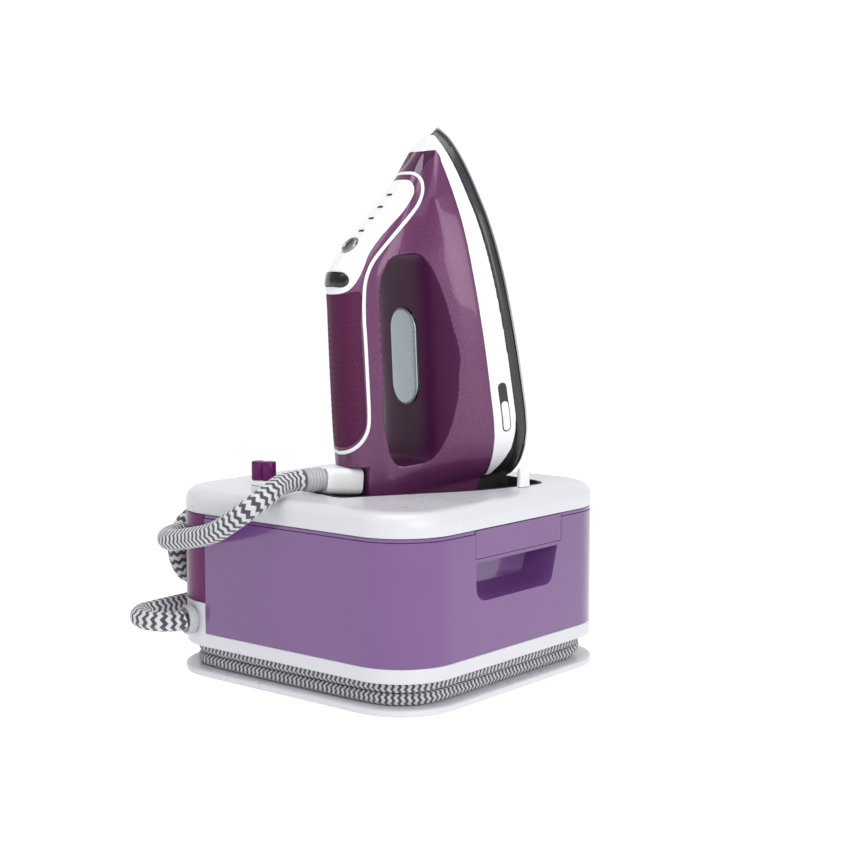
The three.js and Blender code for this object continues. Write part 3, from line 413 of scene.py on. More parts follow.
def plastic(name, color, rough=0.3, metal=0.0, coat=0.0, bump=0.02, scale=900.0, edge=0.0,
            fleck=None, shine=0.5):
    """Moulded plastic or metal: fine grain in the bump, slow change in roughness, optional flecks."""
    material, tree, shader = node_material(name)
    place = node(tree, "TexCoord", {}).outputs["Object"]
    grain = node(tree, "TexNoise", {"Vector": place, "Scale": scale, "Detail": 3.0})
    slow = node(tree, "TexNoise", {"Vector": place, "Scale": 22.0, "Detail": 4.0})
    spread = node(tree, "MapRange", {"Value": slow.outputs["Fac"], "From Min": 0.3, "From Max": 0.7,
                                     "To Min": max(0.02, rough - 0.05), "To Max": rough + 0.05})
    lift = node(tree, "Bump", {"Strength": bump, "Distance": 0.0004, "Height": grain.outputs["Fac"]})
    feed(tree, shader, {"Base Color": rgb(color), "Metallic": metal, "IOR": 1.46, "Specular IOR Level": shine,
                        "Coat Weight": coat, "Coat Roughness": 0.05, "Roughness": spread.outputs["Result"],
                        "Normal": lift.outputs["Normal"]})
    if edge > 0:
        round_edge = node(tree, "Bevel", {"Radius": edge * MM}, samples=4)
        feed(tree, lift, {"Normal": round_edge.outputs["Normal"]})
    if fleck is not None:
        cells = node(tree, "TexNoise", {"Vector": place, "Scale": 2600.0, "Detail": 1.0})
        amount = node(tree, "MapRange", {"Value": cells.outputs["Fac"], "From Min": 0.45, "From Max": 0.75})
        feed(tree, shader, {"Base Color": color_mix(tree, amount.outputs["Result"], rgb(color), rgb(fleck))})
    return material


def clear_violet():
    """Tinted clear plastic: mostly its own colour, with a deep gloss and a slow change of tint."""
    material, tree, shader = node_material("clear_violet")
    place = node(tree, "TexCoord", {}).outputs["Object"]
    slow = node(tree, "TexNoise", {"Vector": place, "Scale": 9.0, "Detail": 2.0})
    tint = color_mix(tree, slow.outputs["Fac"], rgb("663f79"), rgb("744b88"))
    feed(tree, shader, {"Base Color": tint, "Roughness": 0.16, "IOR": 1.49, "Coat Weight": 0.6,
                        "Coat Roughness": 0.04, "Subsurface Weight": 0.15,
                        "Subsurface Radius": (0.006, 0.003, 0.008)})
    return material


def braid(name, pitch, turns, light="e0e1e4", dark="4a4c52"):
    """Woven sleeve: grey and white zigzag ribs, from a UV map with metres along and turns around."""
    material, tree, shader = node_material(name)

    def calc(operation, *values):
        return node(tree, "Math", dict(enumerate(values)), operation=operation).outputs[0]

    uv = node(tree, "UVMap", {}, uv_map="UVMap").outputs["UV"]
    parts = node(tree, "SeparateXYZ", {"Vector": uv})
    zig = calc("PINGPONG", calc("MULTIPLY", parts.outputs["Y"], float(turns)), 0.5)
    shifted = calc("ADD", calc("DIVIDE", parts.outputs["X"], pitch * MM), calc("MULTIPLY", zig, ZIGZAG))
    mask = node(tree, "MapRange", {"Value": calc("PINGPONG", shifted, 0.5), "From Min": 0.19,
                                   "From Max": 0.29},
                interpolation_type="SMOOTHSTEP").outputs["Result"]
    threads = node(tree, "TexWave", {"Vector": uv, "Scale": 22.0, "Distortion": 0.6}, wave_type="BANDS",
                   bands_direction="Y").outputs["Fac"]
    place = node(tree, "TexCoord", {}).outputs["Object"]
    fuzz = node(tree, "TexNoise", {"Vector": place, "Scale": 1500.0, "Detail": 3.0}).outputs["Fac"]
    ribs = color_mix(tree, mask, rgb(dark), rgb(light))
    amount = calc("MULTIPLY", calc("ADD", threads, fuzz), 0.35)
    height = calc("ADD", calc("MULTIPLY", mask, 0.8), calc("MULTIPLY", threads, 0.25))
    lift = node(tree, "Bump", {"Strength": 0.8, "Distance": 0.0007, "Height": height})
    feed(tree, shader, {"Base Color": color_mix(tree, amount, ribs, (0.72, 0.72, 0.74, 1), "MULTIPLY"),
                        "Normal": lift.outputs["Normal"], "Roughness": 0.85, "Sheen Weight": 0.3})
    return material


WHITE = plastic("white_gloss", "ececef", rough=0.24, coat=0.2, bump=0.01, edge=0.5)
# A greyer copy of the same white plastic for the foot plate, tray band and cover: painted shade, darker than
# the iron's white
WHITE_WITH_PAINTED_SHADE = plastic("white_with_painted_shade", "d2d2d8", rough=0.3, coat=0.15, bump=0.012, edge=0.5)
WHITE_SATIN = plastic("white_satin", "e6e6ea", rough=0.38, bump=0.03, edge=0.4)
PLUM = plastic("plum_fleck", "58204f", rough=0.34, metal=0.2, coat=0.4, bump=0.015, fleck="78466f", edge=0.4)
# Darker plum: the trigger's own colour, and painted shade on the faces inside the hand opening
DARK_PLUM_AND_OPENING_SHADE = plastic("dark_plum", "430f3b", rough=0.4, bump=0.01, edge=0.4, shine=0.2)
GRIP = plastic("grip_rubber", "50173f", rough=0.5, bump=0.12, scale=1600, edge=0.3, shine=0.2)
DOT = plastic("grip_dot", "1f0a1b", rough=0.7)
TANK = clear_violet()
BLACK_RUBBER = plastic("black_rubber", "09090a", rough=0.62, bump=0.1, scale=1400, edge=0.4)
BLACK = plastic("black_gloss", "0c0c0e", rough=0.12, coat=0.8, bump=0.01, edge=0.3)
GREY = plastic("grey_plastic", "4c4d52", rough=0.42, bump=0.06, edge=0.4)
LIGHT_GREY = plastic("light_grey", "b4b5b9", rough=0.5, bump=0.05, edge=0.3)
SILVER = plastic("silver_blue", "aebac4", rough=0.28, metal=0.35, coat=0.5, edge=0.3)
SOLE = plastic("sole_metal", "c4c6ca", rough=0.22, metal=0.95, bump=0.01)
STEEL = plastic("steel", "a9abaf", rough=0.35, metal=1.0, bump=0.03)
CAST = plastic("cast_aluminium", "9b9da1", rough=0.6, metal=0.8, bump=0.2, scale=500)
BOARD = plastic("circuit_board", "1f5134", rough=0.45, bump=0.05)
LENS = plastic("nose_lens", "450d3c", rough=0.1, coat=0.5, bump=0.0)
SILVER_DARK = plastic("button_silver", "8d9197", rough=0.22, metal=0.8, bump=0.01)
RIM = plastic("rim_grey", "2c2d31", rough=0.3, coat=0.3, bump=0.02, edge=0.4)
HOUSING = plastic("housing_plum", "621a59", rough=0.25, bump=0.01, edge=0.5, shine=0.25)
HOSE_BRAID = braid("hose_braid", HOSE_PITCH, HOSE_ZIGZAGS)
LEAD_BRAID = braid("lead_braid", LEAD_PITCH, LEAD_ZIGZAGS)


def dress(obj, material, body=None, replaces=(), angle=35):
    obj.data.materials.clear()
    obj.data.materials.append(material)
    shade(obj, angle)
    if body:
        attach(obj, body)
    if replaces:
        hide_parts(*replaces)
    return obj


def iron_piece(name, mesh, material, replaces=(), angle=35):
    return dress(new_object(name, mesh, IRON), material, "iron", replaces, angle)


def base_piece(name, mesh, material, replaces=(), angle=35):
    return dress(new_object(name, mesh), material, "base", replaces, angle)


# ---------------------------------------------------------------- hose and lead
def braided_tube(name, line, diameter, sides, ribs, pitch, zigzags):
    """A tube mesh along a line in millimetres, with a UV map in metres along and turns around."""
    way = np.gradient(line, axis=0)
    way /= np.linalg.norm(way, axis=1)[:, None]
    up = np.zeros_like(line)
    first = np.cross(way[0], [0, 0, 1.0])
    up[0] = first / np.linalg.norm(first)
    for i in range(1, len(line)):
        v = up[i - 1] - way[i] * np.dot(up[i - 1], way[i])
        up[i] = v / np.linalg.norm(v)
    side = np.cross(way, up)
    step = np.r_[0, np.cumsum(np.linalg.norm(np.diff(line, axis=0), axis=1))]
    angle = np.linspace(0, 2 * math.pi, sides, endpoint=False)
    zig = np.abs(((angle / (2 * math.pi) * zigzags) % 1) - 0.5)
    phase = step[:, None] / pitch + ZIGZAG * (0.5 - zig)[None, :]
    radius = diameter / 2 - ribs + ribs * (0.5 + 0.5 * np.cos(2 * math.pi * (phase - 0.5)))
    points = (line[:, None, :] + radius[:, :, None] * (np.cos(angle)[None, :, None] * up[:, None, :]
                                                      + np.sin(angle)[None, :, None] * side[:, None, :]))
    rings = len(line)
    verts = points.reshape(-1, 3) * MM
    faces, uvs = [], []
    for i in range(rings - 1):
        for j in range(sides):
            k = (j + 1) % sides
            faces.append((i * sides + j, i * sides + k, (i + 1) * sides + k, (i + 1) * sides + j))
            uvs += [(step[i] * MM, j / sides), (step[i] * MM, (j + 1) / sides),
                    (step[i + 1] * MM, (j + 1) / sides), (step[i + 1] * MM, j / sides)]
    for i in (0, rings - 1):
        faces.append(tuple(i * sides + j for j in (range(sides) if i else reversed(range(sides)))))
        uvs += [(step[i] * MM, 0.0)] * sides
    mesh = bpy.data.meshes.new(name)
    mesh.from_pydata([tuple(v) for v in verts], [], faces)
    layer = mesh.uv_layers.new(name="UVMap")
    layer.data.foreach_set("uv", np.array(uvs, np.float32).ravel())
    mesh.update()
    return mesh


def make_hose():
    line, length = spline(hose_route(), 1.3)
    obj = new_object("braided_hose", braided_tube("braided_hose", line, HOSE_DIAMETER, 64, 0.5, HOSE_PITCH,
                                                  HOSE_ZIGZAGS))
    dress(obj, HOSE_BRAID, replaces=["steam_hose"], angle=60)
    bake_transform(obj)


def make_lead(plug):
    line, length = spline(lead_route(), 1.2)
    obj = new_object("braided_lead", braided_tube("braided_lead", line, LEAD_DIAMETER, 36, 0.28, LEAD_PITCH,
                                                  LEAD_ZIGZAGS))
    dress(obj, LEAD_BRAID, "base", ["mains_lead"], 60)


make_hose()


# ---------------------------------------------------------------- iron: shape
IRON = (Matrix.Translation((WELL[0] * MM, WELL[1] * MM, 0)) @ Matrix.Rotation(TURN, 4, "Z")
        @ Matrix.Translation((0, TIP_ALONG * MM, TIP_Z * MM)) @ Matrix.Rotation(LEAN, 4, "X"))
TURNED = Matrix.Translation((WELL[0] * MM, WELL[1] * MM, 0)) @ Matrix.Rotation(TURN, 4, "Z")


def smooth_curve(table):
    """Monotone cubic through (x, y) pairs."""
    x, y = np.array(table, float).T
    h, slope = np.diff(x), np.diff(y) / np.diff(x)
    m = np.zeros_like(y)
    for i in range(1, len(x) - 1):
        if slope[i - 1] * slope[i] > 0:
            w1, w2 = 2 * h[i] + h[i - 1], h[i] + 2 * h[i - 1]
            m[i] = (w1 + w2) / (w1 / slope[i - 1] + w2 / slope[i])
    m[0], m[-1] = slope[0], slope[-1]

    def value(at):
        at = np.clip(at, x[0], x[-1])
        i = np.clip(np.searchsorted(x, at) - 1, 0, len(h) - 1)
        u = (at - x[i]) / h[i]
        return ((1 + 2 * u) * (1 - u) ** 2 * y[i] + u * (1 - u) ** 2 * h[i] * m[i]
                + u * u * (3 - 2 * u) * y[i + 1] + u * u * (u - 1) * h[i] * m[i + 1])
    return value


sole_width = smooth_curve(SOLE_HALF_WIDTH)
ridge_height = smooth_curve(RIDGE)
ridge_width = smooth_curve(RIDGE_HALF_WIDTH)
skirt_height = smooth_curve(SKIRT_TOP)
underside = smooth_curve(HANDLE_UNDERSIDE)
deck_crown = smooth_curve(DECK_CROWN)
deck_drop = smooth_curve(DECK_DROP)


def cut_corners(points, times):
    p = np.asarray(points, float)
    for _ in range(times):
        q = [p[0]]
        for a, b in zip(p[:-1], p[1:]):
            q += [0.75 * a + 0.25 * b, 0.25 * a + 0.75 * b]
        p = np.array(q + [p[-1]])
    return p


def body_section(s, inset=0.0, low=8.8):
    sole = max(sole_width(s), HEEL_HALF_WIDTH if s > 230 else 0)
    top = ridge_height(s)
    skirt = min(skirt_height(s), top - 1)
    rise = top - skirt
    shoulder, cap = min(17, 0.45 * rise), min(32, 0.42 * rise)
    ridge = ridge_width(s)
    half = [(max(1, sole - 2), low), (sole * 0.935, skirt), (sole * 0.89, skirt + 0.5 * shoulder),
            (max(ridge, sole * 0.83), skirt + shoulder), (ridge, top - cap), (ridge * 0.97, top - 0.5 * cap),
            (ridge * 0.78, top - 0.16 * cap), (ridge * 0.42, top - 0.03 * cap), (0, top)]
    half = [(max(0.0 if i == 8 else 0.3, w - inset), t - (inset if i > 4 else 0))
            for i, (w, t) in enumerate(half)]
    curve = cut_corners(half, 3)
    left = curve[:-1][::-1] * [-1, 1]
    return np.vstack([curve, left])


def local(w, t, s):
    return np.column_stack([w, -np.asarray(t), -np.asarray(s)])


def body_loft(inset=0.0, low=8.8):
    stations = np.r_[np.linspace(4.2, 20, 12), np.linspace(22, 110, 45), np.linspace(113, 265, 52)]
    if inset > 0:
        stations = stations[stations > 9]
    rings = []
    for s in stations:
        p = body_section(s, inset, low)
        rings.append(local(p[:, 0], p[:, 1], np.full(len(p), s)))
    return rings_mesh("loft", rings)


def opening_edges(s, margin=0.0):
    """Middle, half height and sideways drop of the hand opening at s, and whether s is in it."""
    middle, reach = (OPENING_START + OPENING_END) / 2, (OPENING_END - OPENING_START) / 2 + margin
    u = np.clip(np.abs(s - middle) / reach, 0, 1)
    full = (1 - u ** OPENING_SQUARENESS) ** (1 / OPENING_SQUARENESS)
    upper, lower = underside(s) + margin, deck_crown(s) - margin
    return (upper + lower) / 2, (upper - lower) / 2 * full, deck_drop(s) * full, np.abs(s - middle) < reach


def deck_level(w, centre, height, drop):
    return centre - height - drop * np.minimum(np.abs(w) / DECK_HALF, 1.01) ** DECK_CURVE


def opening_block(margin=0.0):
    middle, reach = (OPENING_START + OPENING_END) / 2, (OPENING_END - OPENING_START) / 2 + margin
    across = np.linspace(-64, 64, 41)
    rings = []
    for i in range(81):
        s = middle - reach * math.cos(math.pi * i / 80) * 0.999998
        centre, height, drop, _ = opening_edges(s, margin)
        edge = np.r_[deck_level(across, centre, height, drop), np.full(41, centre + height)]
        rings.append(local(np.r_[across, across[::-1]], edge, np.full(82, s)))
    return rings_mesh("opening", rings)


def side_block(points, half_width=80, x0=None):
    outline = np.array(points, float)
    start = -half_width if x0 is None else x0
    return rings_mesh("zone", [np.column_stack([np.full(len(outline), x), -outline[:, 1], -outline[:, 0]])
                               for x in (start, half_width)])


def rounded_line(points, closed=False, step=1.2):
    """A smooth line through side-on points."""
    p = np.array(points, float)
    if closed:
        p = np.vstack([p, p[:1]])
    flat, _ = spline(np.column_stack([p, np.zeros(len(p))]), step)
    return flat[:, :2]


def below_block(z):
    """Everything of the iron under a world height z, in its own frame."""
    return moved(block(-200, 200, -250, 250, -100, z), IRON.inverted())


def grown(outline, distance):
    """A closed outline moved out by distance."""
    p = np.asarray(outline, float)
    way = np.roll(p, -1, axis=0) - np.roll(p, 1, axis=0)
    way /= np.linalg.norm(way, axis=1)[:, None]
    turn = np.sign(np.sum(p[:, 0] * np.roll(p[:, 1], -1) - np.roll(p[:, 0], -1) * p[:, 1]))
    return p + turn * np.column_stack([way[:, 1], -way[:, 0]]) * distance


OUTER = remeshed(cut(body_loft(), opening_block()), 0.9, 6)
PIT = remeshed(cut(body_loft(1.3), opening_block(1.3)), 1.2, 3)
FOOT_CUT = WELL_FLOOR + 4


OUTER_TREE = BVHTree.FromPolygons([v.co.copy() for v in OUTER.vertices],
                                  [tuple(p.vertices) for p in OUTER.polygons])


def panel_outline():
    return np.vstack([rounded_line(PANEL_EDGE), [[22, 125], [28, 60]]])


def grip_outline():
    return np.vstack([rounded_line(GRIP_EDGE), [[99.6, 130]]])


def trim_bar(half, profile):
    """A bar along the white line, on both sides of the iron; profile gives (side, out) of its section."""
    right = np.array(TRIM_LINE)
    p = np.vstack([right, (right * [-1, 1, 1])[-2:0:-1]])
    for _ in range(3):
        p = np.stack([0.75 * p + 0.25 * np.roll(p, -1, axis=0), 0.25 * p + 0.75 * np.roll(p, -1, axis=0)],
                     1).reshape(-1, 3)
    spots = [OUTER_TREE.find_nearest(Vector(v))[:2] for v in local(p[:, 0], p[:, 1], p[:, 2]) * MM]
    line, out = np.array([v for v, _ in spots]) / MM, np.array([n for _, n in spots])
    for _ in range(3):
        out = np.roll(out, 1, axis=0) + 2 * out + np.roll(out, -1, axis=0)
        out /= np.linalg.norm(out, axis=1)[:, None]
    way = np.roll(line, -1, axis=0) - np.roll(line, 1, axis=0)
    side = np.cross(way, out)
    side /= np.linalg.norm(side, axis=1)[:, None]
    count, points = len(line), len(profile)
    verts = np.concatenate([line + side * a * half + out * b for a, b in profile]) * MM
    faces = [(k * count + i, k * count + (i + 1) % count, (k + 1) % points * count + (i + 1) % count,
              (k + 1) % points * count + i) for k in range(points) for i in range(count)]
    return outward(mesh_from("trim", [tuple(v) for v in verts], faces))


def skirt_outline(lift=0.0):
    s = np.linspace(14.4, 262, 90)
    return np.vstack([[[-5, -10], [-5, 70], [13 + lift, 70]],
                      np.column_stack([s, [skirt_height(v) + lift if v > 20 else 17 + lift for v in s]]),
                      [[262, -10]]])


def make_iron_body():
    pits = [side_block(panel_outline()), side_block(grown(grip_outline(), 0.25)),
            side_block(grown(WINDOW, 0.25)),
            side_block(grown(HEEL_ZONE, 0.25))]
    body = OUTER.copy()
    for zone in pits:
        body = cut(body, cut(zone, PIT.copy()))
    body = cut(body, side_block(skirt_outline(0.3)), side_block(HEEL_NOTCH), below_block(FOOT_CUT),
               trim_bar(GROOVE_HALF, GROOVE_PROFILE))
    body = cut(body, power_block(0.3, -12, 12), mode_block(0.3, -12, 12), trigger_block(0.4))
    obj = new_object("iron_body", body, IRON)
    dress(obj, PLUM, "iron", ["body_shell"], 32)
    # The second slot is the darker plum, painted shade on the deck, walls and handle underside inside the
    # hand opening
    obj.data.materials.append(DARK_PLUM_AND_OPENING_SHADE)
    centres = np.zeros(len(body.polygons) * 3)
    body.polygons.foreach_get("center", centres)
    w, t, s = (centres.reshape(-1, 3) / MM * [1, -1, -1]).T
    centre, height, drop, near = opening_edges(s, 0.5)
    inside = near & (t < centre + height) & (t > deck_level(w, centre, height, drop))
    body.polygons.foreach_set("material_index", inside.astype(np.int32))
    return obj


def make_iron_skins():
    floor_cut = below_block(FOOT_CUT)
    skirt = cut(common(OUTER.copy(), side_block(skirt_outline())), floor_cut,
                side_block(grown(HEEL_ZONE, 0.25)))
    iron_piece("skirt_band", skirt, WHITE, ["skirt"], 32)
    panel = common(cut(OUTER.copy(), PIT.copy()), side_block(grown(panel_outline(), -0.3)))
    panel = cut(panel, power_block(0.3, -12, 12), mode_block(0.3, -12, 12))
    iron_piece("control_face", panel, WHITE, ["control_panel"], 32)
    iron_piece("trim_line", trim_bar(TRIM_HALF, TRIM_PROFILE), WHITE, ["trim_loop"], 50)
    grip = cut(common(OUTER.copy(), side_block(grip_outline())), PIT.copy(),
               trim_bar(GROOVE_HALF, GROOVE_PROFILE))
    grip_obj = iron_piece("grip_skin", grip, GRIP, ["grip_pad"], 32)
    window = cut(common(cut(OUTER.copy(), PIT.copy()), side_block(WINDOW)),
                 trim_bar(GROOVE_HALF, GROOVE_PROFILE),
                 side_block(skirt_outline(0.3)))
    iron_piece("nose_lens", window, LENS, ["nose_window"], 32)
    return grip_obj


def on_ridge(mesh, s):
    """Stands a mesh on the ridge at s: X across, Y along the ridge, Z out of it."""
    rise = (ridge_height(s + 2.5) - ridge_height(s - 2.5)) / 5
    size = math.hypot(1, rise)
    back, out = Vector((0, -rise / size, -1 / size)), Vector((0, -1 / size, rise / size))
    middle = (ridge_height(s - 2.5) + ridge_height(s + 2.5)) / 2
    place = Matrix(((1, back[0], out[0], 0), (0, -back[1], out[1], -middle * MM),
                    (0, -back[2], out[2], -s * MM),
                    (0, 0, 0, 1)))
    return outward(moved(mesh, place))


def power_block(grow, low, high):
    a = np.linspace(0, 2 * math.pi, 48, endpoint=False)
    return on_ridge(prism(np.column_stack([np.cos(a), np.sin(a)]) * (POWER_RADIUS + grow), low, high),
                    POWER_AT)


def mode_block(grow, low, high):
    return on_ridge(prism(rounded_rect(13 + grow, 4.9 + grow, 4.6 + grow, 8), low, high), MODE_AT)


def trigger_ring(inset, t):
    outline = rounded_rect(7 - inset, 12 - inset, 4 - max(inset, 0), 8, 0, 106)
    return local(outline[:, 0], np.full(len(outline), t), outline[:, 1])


def trigger_block(grow):
    return rings_mesh("trigger", [trigger_ring(-grow, t) for t in (66, 90)])


def make_controls():
    for i, s in enumerate((40, 47, 53.5, 60.5)):
        rings = [flat_ring(rounded_rect(3 - d, 0.9 - d, 0.88 - d, 5), z)
                 for d, z in ((0, -0.25), (0, 0.3), (0.12, 0.42), (0.3, 0.46))]
        iron_piece(f"lamp_{i + 1}", on_ridge(rings_mesh("lamp", rings), s), BLACK,
                   [f"indicator_{i + 1}"])
    profile = [(0, -5), (6.6, -5), (6.6, 0.7), (6.4, 1.1), (6.0, 1.4), (5.4, 1.5), (4.9, 1.3), (4.5, 0.8),
               (4.1, 0.72), (2, 0.62), (0, 0.6)]
    button = dress(new_object("round_button", on_ridge(lathe(profile, 56), POWER_AT), IRON), SILVER_DARK,
                   "power_button", ["power_button"], 50)
    button.data.materials.append(BLACK)
    for polygon in button.data.polygons:
        local_centre = polygon.center
        rise = (local_centre - Vector((0, -ridge_height(POWER_AT) * MM, -POWER_AT * MM))).length
        polygon.material_index = 0 if rise > 0.0045 else 1
    pill = common(mode_block(0, -9, 3), inflated(OUTER, 1.0))
    bevelled(dress(new_object("pill_button", pill, IRON), BLACK, "mode_button",
                   ["mode_button"], 35),
             0.5, 3, 50)
    trigger = rings_mesh("trigger", [trigger_ring(d, t)
                                     for d, t in ((0, 90), (0, 81), (0.25, 80.3), (0.8, 79.8),
                                                                     (1.6, 79.5))])
    dress(new_object("trigger", trigger, IRON), DARK_PLUM_AND_OPENING_SHADE, "steam_trigger",
          ["steam_trigger"], 50)


def pill_disc(name, half_w, half_s, radius, s0, levels):
    """A pill lying on the deck; levels are (inset, height over the deck) from its foot to its middle."""
    rings = []
    for d, t in levels:
        outline = rounded_rect(max(half_w - d, 0.4), max(half_s - d, 0.4), max(radius - d, 0.39), 14, 0, s0)
        deck = 51.4 + 0.126 * (outline[:, 1] - 100)
        rings.append(local(outline[:, 0], deck + t - 0.8 * (outline[:, 0] / 16) ** 2, outline[:, 1]))
    return rings_mesh(name, rings)


def make_badge():
    rim = pill_disc("rim", 15.8, 34.0, 15.7, 152.5,
                    ((0, -3.2), (0, -0.3), (0.2, 0.1), (0.7, 0.2), (1.2, 0.1), (4, 0.0)))
    iron_piece("badge_rim", rim, BLACK, angle=50)
    face = pill_disc("badge", 14.7, 32.9, 14.6, 152.5,
                     [(0, -0.4), (0, 0.4), (0.2, 0.7), (0.6, 0.85), (1.2, 0.92)]
                     + [(d, 0.95) for d in range(2, 15)])
    iron_piece("badge_face", face, SILVER, ["deck_badge"], 50)


def pill_outline(half_s, half_t, s0, t0):
    return rounded_rect(half_s, half_t, half_t - 0.02, 10, s0, t0)


def make_side_inserts():
    thick = inflated(OUTER, 0.45)
    thin = inflated(OUTER, 0.25)
    for side, low, high in (("right", 0, 90), ("left", -90, 0)):
        half = block(low, high, -200, 0, -300, 0)
        dark = cut(common(thin.copy(), side_block(pill_outline(17.5, 3.5, 195, 17.6)), half.copy()),
                   PIT.copy())
        iron_piece(f"insert_{side}", dark, BLACK, [f"side_insert_{side}"])
        pale = cut(common(thick.copy(), side_block(pill_outline(10.4, 2.8, 201.2, 17.6)), half.copy()),
                   PIT.copy())
        iron_piece(f"insert_label_{side}", pale, WHITE_SATIN)


def sole_ring(inset, t, start=0.0, end=SOLE_LENGTH):
    """The outline of the sole at height t, moved in by inset, with a rounded heel."""
    u = (1 - np.cos(np.linspace(0, math.pi, 90))) / 2
    half = np.array([max(0.35, sole_width(v) - inset) for v in u * SOLE_LENGTH])
    s = start + (end - start) * u
    tail = math.pi / 2 * np.linspace(0, 1, 6)[1:-1]
    close = np.column_stack([half[-1] * np.cos(tail), s[-1] + 1.2 * np.sin(tail)])
    side = np.vstack([np.column_stack([half, s]), close])
    p = np.vstack([side, side[::-1] * [-1, 1]])
    return local(p[:, 0], np.full(len(p), t), np.minimum(p[:, 1], SOLE_LENGTH + 1.2))


def make_sole():
    plate = rings_mesh("sole", [sole_ring(d, t, e, SOLE_LENGTH - e)
                                for d, t, e in ((2.4, 0, 1.4), (1.0, 0.12, 0.6), (0.35, 0.5, 0.2),
                                                (0, 1.1, 0), (0, SOLE_THICK, 0))])
    holes = []
    for s in np.arange(26, 232, 11.5):
        for sign in (1, -1):
            for inset in ((11,) if s < 60 else (11, 21)):
                x = sign * (sole_width(s) - inset)
                if abs(x) > 3:
                    holes.append((x, s + (0 if inset == 11 else 5.7)))
    holes += [(x, s) for s in (38, 50, 62) for x in (-6, 6)]
    drills = bmesh.new()
    for x, s in holes:
        place = Matrix.Translation((x * MM, 0, -s * MM)) @ Matrix.Rotation(math.pi / 2, 4, "X")
        bmesh.ops.create_cone(drills, cap_ends=True, segments=14, radius1=1.35 * MM, radius2=1.35 * MM,
                              depth=3 * MM, matrix=place)
    drill = bpy.data.meshes.new("drills")
    drills.to_mesh(drill)
    drills.free()
    plate = cut(plate, drill)
    iron_piece("sole_plate", plate, SOLE, ["soleplate"], 32)
    rim = rings_mesh("rim", [sole_ring(d, t, 0.5 * t)
                             for d, t in ((2.2, 2.3), (1.2, 2.4), (0.8, 2.8), (0.7, 6.4), (1.1, 7.6),
                                          (2.2, 8.75))])
    iron_piece("sole_edge", rim, RIM, ["sole_rim"], 40)
    pad = common(cut(body_loft(0.4), side_block(HEEL_NOTCH)),
                 moved(block(-200, 200, -250, 250, WELL_FLOOR + 0.5, WELL_FLOOR + 3.8), IRON.inverted()))
    skin = cut(common(OUTER.copy(), side_block(HEEL_ZONE)), PIT.copy(), below_block(WELL_FLOOR + 0.5))
    heel = join(pad, skin)
    iron_piece("heel_pad", heel, BLACK_RUBBER, ["heel_cap"], 40)


def make_grip_dots(grip):
    """Small raised dots in staggered rows over the back of the handle."""
    tree = BVHTree.FromPolygons([v.co.copy() for v in grip.data.vertices],
                                [tuple(p.vertices) for p in grip.data.polygons])
    bm = bmesh.new()
    for row, s in enumerate(np.arange(118, 198, 4.4)):
        centre = Vector((0, -(ridge_height(s) - 16) * MM, -s * MM))
        for k in range(-9, 10):
            angle = math.radians(k * 11 + (5.5 if row % 2 else 0))
            way = Vector((math.sin(angle), -math.cos(angle), 0.0))
            start = centre + way * 0.06
            hit, normal, index, distance = tree.ray_cast(start, -way)
            if hit is None or distance > 0.057 or normal.dot(way) < 0.2:
                continue
            turn = Vector((0, 0, 1)).rotation_difference(normal).to_matrix().to_4x4()
            place = Matrix.Translation(hit) @ turn @ Matrix.Diagonal((1, 1, 0.3, 1))
            bmesh.ops.create_icosphere(bm, subdivisions=1, radius=0.55 * MM, matrix=place)
    mesh = bpy.data.meshes.new("grip_dots")
    bm.to_mesh(mesh)
    bm.free()
    iron_piece("grip_dots", mesh, DOT, angle=80)


def make_cuff():
    start, end = np.array([2, -38, 137.8]), np.array([1.5, -66, 140.4])
    way = (end - start) / np.linalg.norm(end - start)
    rings = []
    for u, half, r in ((0, 9.2, 5.5), (0.5, 9.2, 5.2), (0.9, 9.0, 4.8), (0.97, 8.7, 4.6), (1.0, 8.1, 4.4),
                       (1.0, 6.8, 4)):
        outline = rounded_rect(half, half, r, 10)
        rings.append(np.column_stack([outline, np.full(len(outline), u * np.linalg.norm(end - start))]))
    cuff = aim(rings_mesh("cuff", rings), start, way)
    dress(new_object("hose_collar", cuff, TURNED), WHITE, "iron", ["hose_cuff"], 40)
    profile = [(0, 0), (8.3, 0)]
    for i in range(5):
        z = 0.3 + i * 2.5
        r = 8.3 - 0.12 * i
        profile += [(r, z), (r, z + 1.2), (r - 0.25, z + 1.5), (r - 0.85, z + 1.7), (r - 0.85, z + 2.2),
                    (r - 0.3, z + 2.45)]
    profile += [(7.6, 13.2), (7.3, 13.6), (0, 13.6)]
    sleeve = aim(lathe(profile, 56), (1.5, -67.3, 141), (0, -1, 0.03))
    dress(new_object("ribbed_sleeve", sleeve, TURNED), LIGHT_GREY, "iron",
          ["hose_sleeve"], 50)


def make_steam_pipe():
    pipe = aim(lathe([(0, 0), (4, 0), (4, 82), (0, 82)], 24), (0, -15.4, -234), (0, -82.6, -2))
    iron_piece("inner_pipe", pipe, STEEL, ["steam_pipe"])


# ---------------------------------------------------------------- base
def tank_block(inset, low, high, steps=20):
    half = BASE_HALF - inset
    left = block(-200, TANK_LEFT + inset, -200, 200, 0, 200)
    middle = block(-200, TANK_INNER + inset, TANK_BACK - inset, 200, 0, 200)
    return cut(prism(rounded_rect(half, half, CORNER - inset, steps), low, high), left, middle)


def housing_block(half, radius, shrink, low, high, steps=20):
    front = block(TANK_LEFT - GAP - shrink, 200, -200, TANK_BACK + GAP + shrink, 0, 200)
    right = block(TANK_INNER - GAP - shrink, 200, -200, 200, 0, 200)
    return cut(prism(rounded_rect(half, half, radius, steps), low, high), front, right)


